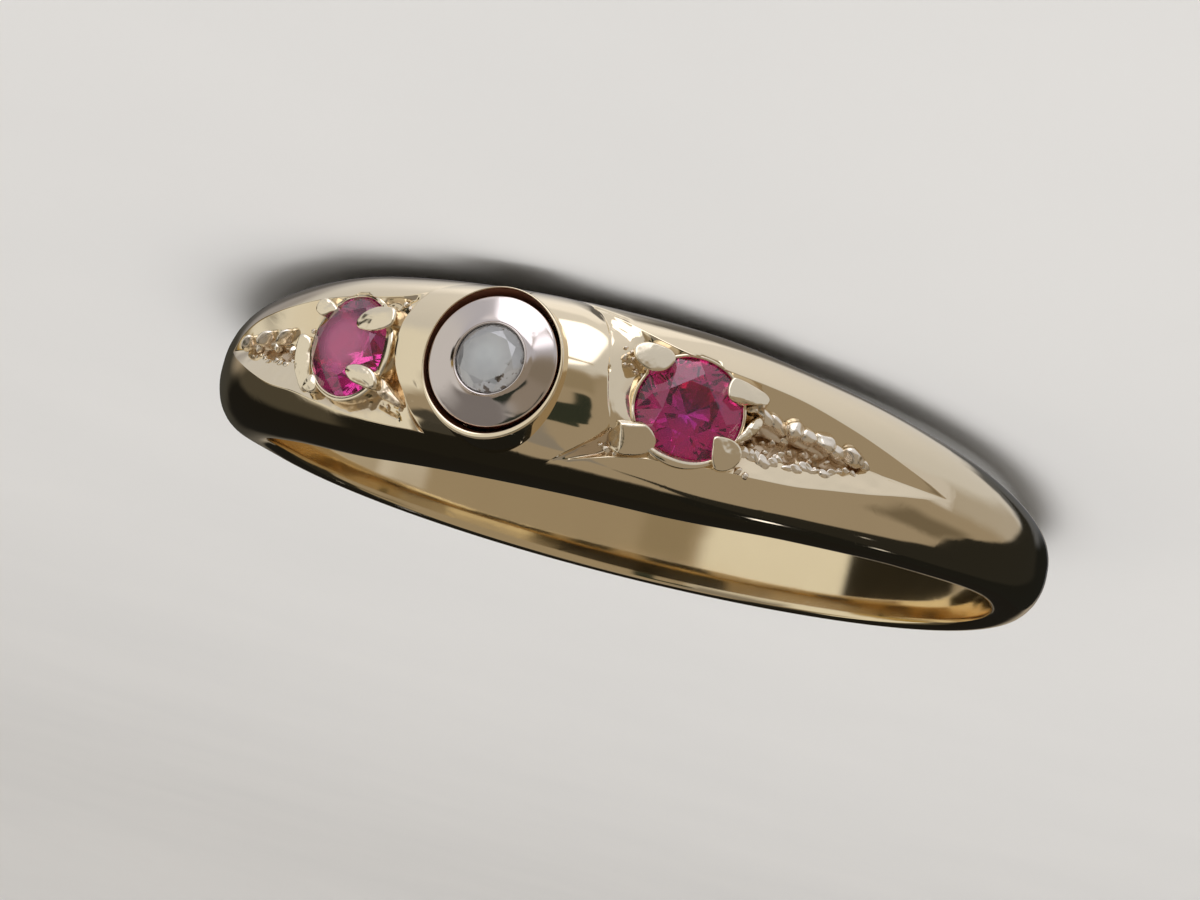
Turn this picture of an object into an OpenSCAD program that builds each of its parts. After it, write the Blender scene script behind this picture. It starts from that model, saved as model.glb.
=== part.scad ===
// Ruby and diamond ring: a tapered band with a domed front, a raised round cup
// in the middle that holds a white metal collet and a small diamond, and two
// long pointed recesses, each with a ruby between four bead claws and a row of
// small grains that runs out to the point.
// Millimetres. The ring lies on its side on z = 0 as it rests by itself: on the
// wide edge of the front and the narrow edge of the back. The front faces -Y.

/* [Band] */
// Radius of the finger hole
bore_r = 8.5; // [7.8:0.1:9.6]
// Half width of the band at the middle of the front
front_half_w = 1.95; // [1.85:0.01:2.1]
// Half width of the band at the back
back_half_w = 1.02; // [0.9:0.01:1.2]
// Height of the dome above the finger hole at the middle of the front
front_t = 2.42; // [2.3:0.01:2.6]
// Thickness of the band at the back
back_t = 1.0; // [0.9:0.01:1.2]
// How square the section is at the front (2 is an ellipse)
front_fullness = 2.3; // [2.0:0.1:2.6]
// How square the section is at the back (2 is an ellipse)
back_fullness = 2.1; // [2.0:0.1:2.6]
// Radial size of the softened edge beside the finger hole
rim_r = 0.25; // [0.2:0.01:0.3]
// How far that edge falls back along the axis
rim_d = 0.12; // [0.08:0.01:0.16]

/* [Boss and cup] */
// Radius of the round boss that is left between the two recesses
boss_r = 2.32; // [2.2:0.01:2.4]
// Outside radius of the raised gold cup
cup_r = 1.52; // [1.5:0.01:1.56]
// Wall of the cup
cup_wall = 0.11; // [0.09:0.01:0.13]
// How far the cup stands above the dome
cup_rise = 0.1; // [0.05:0.01:0.2]
// Depth of the hollow of the cup
cup_depth = 1.0; // [0.9:0.05:1.2]

/* [Collet and diamond] */
// Radius of the white metal collet
collet_r = 1.35; // [1.3:0.01:1.36]
// How far the edge of the collet lies below the top of the cup
collet_drop = 0.22; // [0.1:0.01:0.3]
// Outside radius of the thin tube that holds the diamond
tube_r = 0.76; // [0.72:0.01:0.8]
// Wall of that tube
tube_wall = 0.06; // [0.05:0.01:0.08]
// Height of the tube above the edge of the collet
tube_h = 0.36; // [0.3:0.01:0.45]
// Radius of the diamond
diamond_r = 0.68; // [0.62:0.01:0.7]
// Height of the diamond above the top of the tube
diamond_rise = 0.14; // [0.05:0.01:0.2]

/* [Rubies] */
// Radius of each ruby at its girdle
ruby_r = 1.07; // [1.0:0.01:1.1]
// Angle of the ruby on the -X side, from the middle of the front
ruby_a_angle = 21.2; // [20.5:0.1:22]
// Angle of the ruby on the +X side, from the middle of the front
ruby_b_angle = 19.6; // [19:0.1:20.5]
// Distance of the girdle from the axis of the ring, beyond the finger hole
ruby_seat = 1.86; // [1.8:0.01:1.9]
// Height of the crown above the girdle
crown_h = 0.34; // [0.3:0.01:0.4]
// Depth of the stone below the girdle
pavilion_h = 0.86; // [0.8:0.01:0.9]
// Space left between a stone and its seat
stone_gap = 0.02; // [0.02:0.01:0.03]

/* [Hidden] */

// ---- tables ---------------------------------------------------------------
// Band, by angle from the middle of the front. Columns: angle, share of the
// front half width over the back's, share of the front height over the back's.
STATION = 0; W_SHARE = 1; T_SHARE = 2;
BAND = [
    [  0, 1.000, 1.000],
    [ 20, 0.968, 0.870],
    [ 40, 0.690, 0.590],
    [ 60, 0.380, 0.345],
    [ 90, 0.040, 0.100],
    [135, 0.010, 0.015],
    [180, 0.000, 0.000]
];
// Recesses, by angle from the middle of the front. Columns: angle, half
// opening across the band, depth of the crease below the two edges.
R_ANGLE = 0; R_HALF = 1; R_DEPTH = 2;
RECESS_A = [
    [ 4.0, 1.66, 0.24],
    [ 7.5, 1.60, 0.28],
    [11.0, 1.45, 0.40],
    [15.0, 1.28, 0.50],
    [20.0, 1.12, 0.54],
    [25.0, 1.01, 0.50],
    [33.0, 0.87, 0.38],
    [40.0, 0.63, 0.29],
    [47.0, 0.36, 0.20],
    [57.0, 0.03, 0.03]
];
RECESS_B = [
    [ 4.0, 1.58, 0.26],
    [ 7.5, 1.55, 0.28],
    [15.0, 1.40, 0.42],
    [20.0, 1.30, 0.46],
    [24.0, 1.20, 0.46],
    [29.0, 0.98, 0.42],
    [35.0, 0.84, 0.34],
    [40.0, 0.66, 0.28],
    [44.0, 0.44, 0.20],
    [51.0, 0.03, 0.03]
];
// Claws round each ruby. Columns: angle round the stone (0 points away from
// the boss along the band, 90 points to +Z), radius, height above the girdle.
C_TURN = 0; C_R = 1; C_TOP = 2;
CLAWS_A = [[ 40, 0.27, 0.34], [-38, 0.30, 0.34], [142, 0.34, 0.30], [-140, 0.36, 0.26]];
CLAWS_B = [[ 42, 0.26, 0.34], [-42, 0.26, 0.34], [136, 0.32, 0.34], [-134, 0.30, 0.36]];
// Grains out towards each point. Columns: angle, radius, distance off the
// middle of the band.
G_ANGLE = 0; G_R = 1; G_SIDE = 2;
GRAINS_A = [[30.4, 0.20, -0.06], [33.6, 0.19, -0.05], [37.4, 0.18, -0.04], [41.0, 0.17, -0.02]];
GRAINS_B = [[30.5, 0.20, -0.06], [34.2, 0.19, -0.05], [38.2, 0.18, -0.04], [42.2, 0.16, -0.02]];

// ---- smooth interpolation in a table -----------------------------------------
// Slope between rows i and i + 1 in column c.
function chord(t, c, i) = (t[i + 1][c] - t[i][c]) / (t[i + 1][0] - t[i][0]);
// Slope at row i that keeps the curve from overshooting; flat at open ends
// where the table is mirrored.
function slope(t, c, i) =
    i == 0 ? 0
    : i == len(t) - 1 ? 0
    : chord(t, c, i - 1) * chord(t, c, i) <= 0 ? 0
    : 2 * chord(t, c, i - 1) * chord(t, c, i) / (chord(t, c, i - 1) + chord(t, c, i));
function row_of(t, a, i = 0) = i >= len(t) - 2 || a < t[i + 1][0] ? i : row_of(t, a, i + 1);
function cubic(p0, m0, p1, m1, h, u) =
    (2 * pow(u, 3) - 3 * u * u + 1) * p0 + (pow(u, 3) - 2 * u * u + u) * h * m0
    + (3 * u * u - 2 * pow(u, 3)) * p1 + (pow(u, 3) - u * u) * h * m1;
function at(t, c, a) =
    let (i = row_of(t, a), h = t[i + 1][0] - t[i][0], u = min(1, max(0, (a - t[i][0]) / h)))
    cubic(t[i][c], slope(t, c, i), t[i + 1][c], slope(t, c, i + 1), h, u);

// ---- band surface --------------------------------------------------------------
function fold(a) = abs(a) > 180 ? 360 - abs(a) : abs(a);
function half_w(a) = back_half_w + (front_half_w - back_half_w) * at(BAND, W_SHARE, fold(a));
function thick(a) = back_t + (front_t - back_t) * at(BAND, T_SHARE, fold(a));
function full(a) = back_fullness + (front_fullness - back_fullness) * (1 + cos(a)) / 2;
// Distance of the dome from the axis at angle a and height z.
function dome(a, z) =
    bore_r + rim_r + (thick(a) - rim_r)
        * pow(max(0, 1 - pow(min(1, abs(z) / half_w(a)), full(a))), 1 / full(a));
function polar(a, r, z) = [r * sin(a), -r * cos(a), z];

BAND_STEPS = 72;
DOME_STEPS = 12;
INNER = 0.5; // the loft runs this far inside the finger hole, which is then bored
function signed_pow(v, e) = (v < 0 ? -1 : 1) * pow(abs(v), e);
function section(a) = let (w = half_w(a), t = thick(a), n = full(a), k = rim_d / rim_r) concat(
    [[bore_r - INNER, -(w - rim_d - INNER * k)]],
    [for (j = [0:DOME_STEPS]) let (s = -90 + 180 * j / DOME_STEPS)
        [bore_r + rim_r + (t - rim_r) * pow(max(0, cos(s)), 2 / n), w * signed_pow(sin(s), 2 / n)]],
    [[bore_r - INNER, w - rim_d - INNER * k]]
);
function ring_points() = [for (i = [0:BAND_STEPS - 1]) let (a = 360 * i / BAND_STEPS)
    for (p = section(a > 180 ? a - 360 : a)) polar(a, p[0], p[1])];
// Triangles between rings of k points; loops where wrap is true.
function quads(n, k, wrap) = [for (i = [0:n - (wrap ? 1 : 2)], j = [0:k - 1])
    let (a = i * k + j, b = i * k + (j + 1) % k, c = ((i + 1) % n) * k + (j + 1) % k, d = ((i + 1) % n) * k + j)
    each [[a, c, b], [a, d, c]]];

function flip(f) = [for (q = f) [q[0], q[2], q[1]]];

module band_blank() {
    polyhedron(points = ring_points(), faces = flip(quads(BAND_STEPS, DOME_STEPS + 3, true)), convexity = 8);
}

// ---- recess cutter -----------------------------------------------------------
// Each station is a V that meets the dome at the half opening, with its walls
// carried on a little past the dome and then straight out.
OVER = 0.05;
function crease(t, a) = dome(a, at(t, R_HALF, a)) - at(t, R_DEPTH, a);
function v_station(t, side, a) =
    let (h = at(t, R_HALF, a), d = at(t, R_DEPTH, a), rc = crease(t, a),
         re = rc + d + OVER, he = h * (1 + OVER / d), rt = dome(a, 0) + 1)
    [polar(side * a, rc, 0), polar(side * a, re, he), polar(side * a, rt, he),
     polar(side * a, rt, -he), polar(side * a, re, -he)];
RECESS_STEPS = 14;
function v_points(t, side) = let (a0 = t[0][0], a1 = t[len(t) - 1][0])
    [for (i = [0:RECESS_STEPS]) each v_station(t, side, a0 + (a1 - a0) * i / RECESS_STEPS)];
function v_faces(side) = let (n = RECESS_STEPS + 1, last = RECESS_STEPS * 5,
        f = concat(quads(n, 5, false), [[0, 1, 2], [0, 2, 3], [0, 3, 4]],
            [[last, last + 2, last + 1], [last, last + 3, last + 2], [last, last + 4, last + 3]]))
    side < 0 ? flip(f) : f;
module recess(t, side) {
    difference() {
        polyhedron(points = v_points(t, side), faces = v_faces(side), convexity = 6);
        rotate([90, 0, 0]) cylinder(r = boss_r, h = bore_r + 8, $fn = 96);
    }
}

// ---- frames --------------------------------------------------------------------
// Puts its children at angle a round the ring, with their +Z pointing outwards,
// their +X along the band away from the front and their +Y across the band.
module on_band(a, side) {
    rotate([0, 0, side * a]) translate([0, -bore_r, 0]) rotate([90, 0, 0])
        mirror([side < 0 ? 1 : 0, 0, 0]) children();
}

// ---- stones -----------------------------------------------------------------
module stone_envelope(r, crown, pavilion, gap) {
    rotate_extrude($fn = 64)
        polygon([[0, -pavilion - gap * 2], [0.12, -pavilion - gap * 2], [r + gap, -0.06 - gap],
                 [r + gap, 0.03 + gap], [r * 0.60 + gap, crown + gap], [r * 0.60 + gap, crown + 1.2], [0, crown + 1.2]]);
}
module cut_stone(r, crown, pavilion, n) {
    rotate([0, 0, 180 / n]) {
        translate([0, 0, -0.04]) cylinder(r = r, h = 0.07, $fn = 48);
        translate([0, 0, 0.03]) cylinder(r1 = r, r2 = r * 0.58, h = crown - 0.03, $fn = 48);
        translate([0, 0, -pavilion]) cylinder(r1 = 0.05, r2 = r, h = pavilion - 0.04, $fn = 48);
    }
}

// ---- gold parts -------------------------------------------------------------
module claw(r, top) {
    translate([0, 0, -1.1]) cylinder(r = r, h = 1.1 + top - r, $fn = 20);
    translate([0, 0, top - r]) sphere(r = r, $fn = 20);
}
module ruby_setting(angle, side, claws) {
    on_band(angle, side) translate([0, 0, ruby_seat]) {
        translate([0, 0, -1.2]) cylinder(r = ruby_r + 0.13, h = 1.14, $fn = 64);
        for (c = claws) rotate([0, 0, c[C_TURN]]) translate([ruby_r + 0.06, 0, 0]) claw(c[C_R], c[C_TOP]);
    }
}
module grain_row(grains, t, side) {
    for (g = grains) let (out = crease(t, g[G_ANGLE]) - bore_r)
        on_band(g[G_ANGLE], side) {
            translate([0, g[G_SIDE], out + g[G_R] * 0.95]) sphere(r = g[G_R], $fn = 16);
            translate([0, g[G_SIDE], out - 0.3]) cylinder(r = g[G_R] * 0.8, h = 0.3 + g[G_R] * 0.95, $fn = 16);
        }
}
cup_top = front_t + cup_rise;
module cup_post() {
    on_band(0, 1) translate([0, 0, 0.5]) cylinder(r = cup_r, h = cup_top - 0.5, $fn = 96);
}
module cup_hollow() {
    on_band(0, 1) translate([0, 0, cup_top - cup_depth]) cylinder(r = cup_r - cup_wall, h = cup_depth + 1, $fn = 96);
}
module band_solid() {
    difference() {
        union() {
            difference() {
                band_blank();
                recess(RECESS_A, -1);
                recess(RECESS_B, 1);
            }
            ruby_setting(ruby_a_angle, -1, CLAWS_A);
            ruby_setting(ruby_b_angle, 1, CLAWS_B);
            grain_row(GRAINS_A, RECESS_A, -1);
            grain_row(GRAINS_B, RECESS_B, 1);
            cup_post();
        }
        cup_hollow();
        on_band(ruby_a_angle, -1) translate([0, 0, ruby_seat]) stone_envelope(ruby_r, crown_h, pavilion_h, stone_gap);
        on_band(ruby_b_angle, 1) translate([0, 0, ruby_seat]) stone_envelope(ruby_r, crown_h, pavilion_h, stone_gap);
        cylinder(r = bore_r, h = 20, center = true, $fn = 144);
    }
}

// ---- white metal collet ----------------------------------------------------
collet_edge = cup_top - collet_drop;
tube_top = collet_edge + tube_h;
collet_foot = cup_top - cup_depth + stone_gap;
module collet_solid() {
    on_band(0, 1) rotate_extrude($fn = 96)
        polygon([[0, collet_foot], [collet_r - 0.1, collet_foot], [collet_r, collet_foot + 0.1],
                 [collet_r, collet_edge], [collet_r - 0.05, collet_edge + 0.02],
                 [tube_r + 0.22, collet_edge - 0.06], [tube_r, collet_edge - 0.02],
                 [tube_r, tube_top], [tube_r - tube_wall, tube_top],
                 [tube_r - tube_wall, tube_top - 0.32], [0.12, tube_top - 0.62], [0, tube_top - 0.62]]);
}
module diamond_solid() {
    on_band(0, 1) translate([0, 0, tube_top - 0.16])
        cut_stone(diamond_r, 0.16 + diamond_rise, 0.34, 8);
}
module ruby_solid(angle, side) {
    on_band(angle, side) translate([0, 0, ruby_seat]) cut_stone(ruby_r, crown_h, pavilion_h, 8);
}

// ---- how it rests -------------------------------------------------------------
// The ring lies on the widest part of the front edge and on the back edge, so
// its axis leans a little towards the back.
rest_r = bore_r + rim_r;
rest_lean = atan((front_half_w - back_half_w) / (2 * rest_r));
rest_height = rest_r * sin(rest_lean) + back_half_w * cos(rest_lean);
front_reach = (bore_r + tube_top + diamond_rise) * cos(rest_lean) + diamond_r * 0.58 * sin(rest_lean);
back_reach = (bore_r + back_t) * cos(rest_lean);
rest_shift = (front_reach - back_reach) / 2;
module at_rest() {
    translate([0, rest_shift, rest_height]) rotate([-rest_lean, 0, 0]) children();
}

module band() { color("goldenrod") at_rest() band_solid(); }
module collet() { color("lightgray") at_rest() collet_solid(); }
module diamond() { color("aliceblue") at_rest() diamond_solid(); }
module ruby_a() { color("crimson") at_rest() ruby_solid(ruby_a_angle, -1); }
module ruby_b() { color("crimson") at_rest() ruby_solid(ruby_b_angle, 1); }

band();
collet();
diamond();
ruby_a();
ruby_b();
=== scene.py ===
import math

import bmesh
import bpy
import numpy as np
from mathutils import Matrix, Vector

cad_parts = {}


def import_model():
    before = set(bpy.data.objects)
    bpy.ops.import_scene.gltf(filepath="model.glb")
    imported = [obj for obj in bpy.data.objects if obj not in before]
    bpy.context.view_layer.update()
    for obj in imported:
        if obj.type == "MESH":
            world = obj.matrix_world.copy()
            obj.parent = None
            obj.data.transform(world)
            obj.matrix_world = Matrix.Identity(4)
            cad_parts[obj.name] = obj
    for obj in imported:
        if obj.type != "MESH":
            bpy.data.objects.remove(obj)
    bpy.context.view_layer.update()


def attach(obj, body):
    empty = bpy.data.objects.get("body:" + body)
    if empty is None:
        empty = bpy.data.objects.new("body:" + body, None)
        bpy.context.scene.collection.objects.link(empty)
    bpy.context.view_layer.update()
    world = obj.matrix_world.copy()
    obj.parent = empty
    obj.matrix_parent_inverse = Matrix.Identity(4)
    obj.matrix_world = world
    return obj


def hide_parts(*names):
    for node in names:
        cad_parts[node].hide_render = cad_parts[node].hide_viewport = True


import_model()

# ---------------------------------------------------------------------------
# Frames. The ring is laid out in millimetres in its own frame: the axis of the
# finger hole is Z, the front faces -Y, and angles run from the middle of the
# front towards +X. to_row turns it over, leans it as it rests and gives metres.
# ---------------------------------------------------------------------------
BORE = 8.5
RIM_R, RIM_D = 0.25, 0.12
FRONT_W, BACK_W = 1.95, 1.02
FRONT_T, BACK_T = 2.42, 1.0
FRONT_N, BACK_N = 2.3, 2.1
BOSS_R = 2.32
CUP_R, CUP_WALL, CUP_TOP = 1.52, 0.11, BORE + 2.52
DISH_R, DISH_EDGE = 1.337, BORE + 2.46
TUBE_R, TUBE_WALL, TUBE_TOP = 0.755, 0.05, BORE + 2.66
GIRDLE = BORE + 1.86
RUBY_R = 1.07
RUBY_A, RUBY_B = 21.2, -19.6
LEAN = math.atan((FRONT_W - BACK_W) / (2 * (BORE + RIM_R)))
HEIGHT = (BORE + RIM_R) * math.sin(LEAN) + BACK_W * math.cos(LEAN)
FRONT_REACH = (TUBE_TOP + 0.14) * math.cos(LEAN) + 0.68 * 0.58 * math.sin(LEAN)
SHIFT = (FRONT_REACH - (BORE + BACK_T) * math.cos(LEAN)) / 2


def turn(p):
    """Directions: ring frame to row frame."""
    p = np.asarray(p, float)
    x, y, z = -p[..., 0], p[..., 1], -p[..., 2]
    c, s = math.cos(-LEAN), math.sin(-LEAN)
    return np.stack([x, c * y - s * z, s * y + c * z], -1)


def to_row(p):
    return (turn(p) + np.array([0, SHIFT, HEIGHT])) * 1e-3


# ---------------------------------------------------------------------------
# Smooth tables (monotone cubic, flat at both ends)
# ---------------------------------------------------------------------------
class Table:
    def __init__(self, rows):
        t = np.array(rows, float)
        self.x, self.v = t[:, 0], t[:, 1:]
        h = np.diff(self.x)
        d = np.diff(self.v, axis=0) / h[:, None]
        m = np.zeros_like(self.v)
        a, b = d[:-1], d[1:]
        same = a * b > 0
        m[1:-1] = np.where(same, 2 * a * b / np.where(same, a + b, 1), 0)
        self.h, self.m = h, m

    def __call__(self, x, col=0):
        x = np.clip(x, self.x[0], self.x[-1])
        i = np.clip(np.searchsorted(self.x, x, side="right") - 1, 0, len(self.h) - 1)
        u = (x - self.x[i]) / self.h[i]
        v, m, h = self.v[:, col], self.m[:, col], self.h[i]
        return ((2 * u**3 - 3 * u**2 + 1) * v[i] + (u**3 - 2 * u**2 + u) * h * m[i]
                + (3 * u**2 - 2 * u**3) * v[i + 1] + (u**3 - u**2) * h * m[i + 1])


BAND = Table([(0, 1, 1), (20, .968, .870), (40, .690, .590), (60, .380, .345),
              (90, .040, .100), (135, .010, .015), (180, 0, 0)])
# Recesses: angle and how far the edge is from the middle line, on each side of it
OPEN_A_UP = Table([(4, 1.80), (6.9, 1.735), (10, 1.60), (13.9, 1.38), (19, 1.13), (24.5, .975), (29, .915), (33, .85),
                   (39.6, .637), (47.1, .339), (52, .16), (57, .0)])
OPEN_A_LOW = Table([(4, 1.66), (7.1, 1.574), (11.4, 1.403), (14.9, 1.243), (17.6, 1.15), (19.6, 1.12), (25.5, 1.0),
                    (30.75, .925), (34.5, .855), (39, .70), (44.1, .507), (50, .24), (57, .0)])
OPEN_B_UP = Table([(4, 1.62), (8, 1.50), (11, 1.32), (14, 1.14), (18, 1.07), (23, 1.02), (31.1, .855), (36, .74),
                   (39.9, .636), (44.6, .38), (48.5, .0)])
OPEN_B_LOW = Table([(4, 1.60), (7.25, 1.53), (13.9, 1.461), (17, 1.41), (20, 1.336), (24, 1.18), (27.75, 1.028),
                    (33.1, .876), (38.6, .594), (42.5, .36), (45.1, .20), (48.5, .0)])
# depth of the crease below the edges
DEEP_A = Table([(4, .16), (7.5, .20), (11, .30), (15, .44), (20, .54), (25, .50), (33, .38), (40, .29), (47, .20), (57, .0)])
DEEP_B = Table([(4, .22), (7.5, .26), (15, .40), (20, .46), (24, .46), (29, .42), (35, .34), (40, .26), (44, .15), (48.5, .0)])
# side of the boss: z and distance from its middle
BOSS_A = Table([(-1.9, .75), (-1.57, 1.33), (-1.21, 1.92), (-.87, 2.36), (-.72, 2.47), (-.55, 2.46), (-.33, 2.39), (.44, 2.21),
                (.9, 2.08), (1.295, 1.86), (1.55, 1.60), (1.734, 1.27), (1.9, .80)])
BOSS_B = Table([(-1.9, .70), (-1.72, 1.0), (-1.509, 1.37), (-1.342, 1.54), (-1.155, 1.70), (-.813, 1.89), (-.643, 2.01), (-.06, 2.25),
                (.378, 2.28), (.974, 2.13), (1.383, 1.90), (1.65, 1.50), (1.84, 1.0), (1.9, .8)])
# ragged edge of the lower wall, below the grains: angle and z
SHELF_A = Table([(27, -.40), (28.7, -.44), (30, -.47), (31.4, -.50), (32.5, -.38), (33.6, -.45), (34.5, -.42), (35.6, -.30), (36.8, -.33),
                 (38.4, -.31), (39.6, -.25), (40.8, -.15), (42.5, -.10), (44, .02)])
SHELF_B = Table([(27, -.30), (29, -.34), (31, -.25), (33, -.32), (35, -.22), (37, -.24), (39, -.14), (41, -.12), (43, .02)])


def smooth(a, b, x):
    u = np.clip((x - a) / (b - a), 0, 1)
    return u * u * (3 - 2 * u)


def smax0(p, k):
    h = np.clip(.5 + .5 * p / k, 0, 1)
    return p * h + k * h * (1 - h)


def waves(seed, count, low, high):
    """Soft noise: a sum of sine waves in random directions, about -1 to 1."""
    rng = np.random.RandomState(seed)
    k = rng.normal(size=(count, 3))
    k /= np.linalg.norm(k, axis=1)[:, None]
    lam = np.exp(rng.uniform(math.log(low), math.log(high), count))
    k *= (2 * math.pi / lam)[:, None]
    ph = rng.uniform(0, 2 * math.pi, count)

    def f(p):
        out = np.zeros(p.shape[:-1])
        for i in range(count):
            out += np.sin(p @ k[i] + ph[i])
        return out / math.sqrt(count / 2) / 2
    return f


# ---------------------------------------------------------------------------
# Band surface as a height over the angle (degrees, signed) and z
# ---------------------------------------------------------------------------
def half_w(a):
    return BACK_W + (FRONT_W - BACK_W) * BAND(np.abs(a), 0) - .008


def thick(a):
    return BACK_T + (FRONT_T - BACK_T) * BAND(np.abs(a), 1)


def full(a):
    return BACK_N + (FRONT_N - BACK_N) * (1 + np.cos(np.radians(a))) / 2


def dome(a, z):
    w, n = half_w(a), full(a)
    u = np.clip(np.abs(z) / w, 0, 1)
    return BORE + RIM_R + (thick(a) - RIM_R) * np.clip(1 - u**n, 0, 1) ** (1 / n)


def half_open(a, side):
    """Distance of the recess edge from the middle line, above it (side 1) or below it (side -1)."""
    g = np.abs(a)
    if side > 0:
        return np.where(a > 0, OPEN_A_UP(g), OPEN_B_UP(g))
    return np.where(a > 0, OPEN_A_LOW(g), OPEN_B_LOW(g))


def cut_depth(a):
    return np.where(a > 0, DEEP_A(np.abs(a)), DEEP_B(np.abs(a)))


def boss_x(a, z):
    return np.where(a > 0, BOSS_A(z), BOSS_B(z))


def boss_angle(side, z, off=0.0):
    """Angle at which the side of the boss, moved out by off, meets the dome at z."""
    x = boss_x(side, z) + off
    a = np.full(np.shape(z), 12.0)
    for _ in range(8):
        a = np.degrees(np.arcsin(np.clip(x / dome(a * side, z), -.9, .9)))
    return a


tiny = waves(11, 30, .12, .38)
chip = waves(12, 26, .22, .6)
hand = waves(13, 14, 2.2, 5.5)
fine_hand = waves(14, 18, .7, 1.6)
melt = waves(15, 20, .30, .9)


def ring_point(a, r, z):
    t = np.radians(a)
    return np.stack([r * np.sin(t), -r * np.cos(t), z + 0 * t], -1)


# Graver cuts: angle and z of both ends, width, depth
GROOVES = [
    (7.2, 1.72, 12.9, 1.50, .028, .040), (7.4, 1.68, 13.2, 1.36, .028, .045), (7.8, 1.60, 13.4, 1.21, .028, .045), (8.6, 1.50, 13.4, 1.07, .026, .035),
    (11.9, .44, 12.0, .30, .022, .05),
    (17.8, -1.10, 13.6, -1.20, .045, .03), (9.0, -1.50, 14.0, -1.15, .05, .04),
    (-11.0, -1.28, -14.6, -1.06, .04, .05), (-11.9, 1.16, -14.6, .90, .05, .05),
    (-12.6, 1.06, -16.4, .95, .045, .04),
    (-8.3, -.95, -9.1, -.97, .018, .012), (-8.0, -.70, -8.6, -.64, .016, .012), (-9.7, -.20, -9.9, -.24, .02, .012),
    (-7.0, -1.02, -8.4, -.98, .016, .010), (-12.6, .40, -12.9, .30, .02, .02),
]


def seats(a, z, r):
    """Lowers the surface under each ruby so that the stone clears it."""
    for a0 in (RUBY_A, RUBY_B):
        d = np.radians(a - a0)
        near = np.abs(d) < .3
        rho = np.sqrt((r * np.sin(d)) ** 2 + z**2)
        lim = (GIRDLE - .30 - .9 * np.clip(1 - rho / 1.08, 0, 1)) / np.cos(np.clip(d, -.3, .3))
        r = np.where(near & (rho < 1.095), np.minimum(r, lim), r)
    return r


def floor_zone(a, z):
    """1 on the rough ground between the row of grains and the lower wall."""
    g = np.abs(a)
    pt = ring_point(a, dome(a, z), z)
    wob = .055 * chip(pt) + .020 * tiny(pt)
    out = np.zeros(np.shape(a))
    for side, shelf, hi in ((1, SHELF_A, .10), (-1, SHELF_B, .06)):
        lo = shelf(g) + wob
        top = hi + .5 * wob
        m = smooth(lo - .012, lo + .022, z) * (1 - smooth(top - .03, top + .05, z))
        m = m * smooth(26.2, 27.2, g) * (1 - smooth(42.5, 44.0, g))
        out = np.where(a * side > 0, m, out)
    return out


def corner_zone(a, z):
    """1 on the small sunk triangle below the boss on the side of ruby_a."""
    u = dome(a, z) * np.sin(np.radians(a)) - BOSS_A(z)
    return smooth(.0, .05, u) * (1 - smooth(-.84, -.72, z)) * (a > 4) * (1 - smooth(14.5, 16.5, a))


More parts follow.
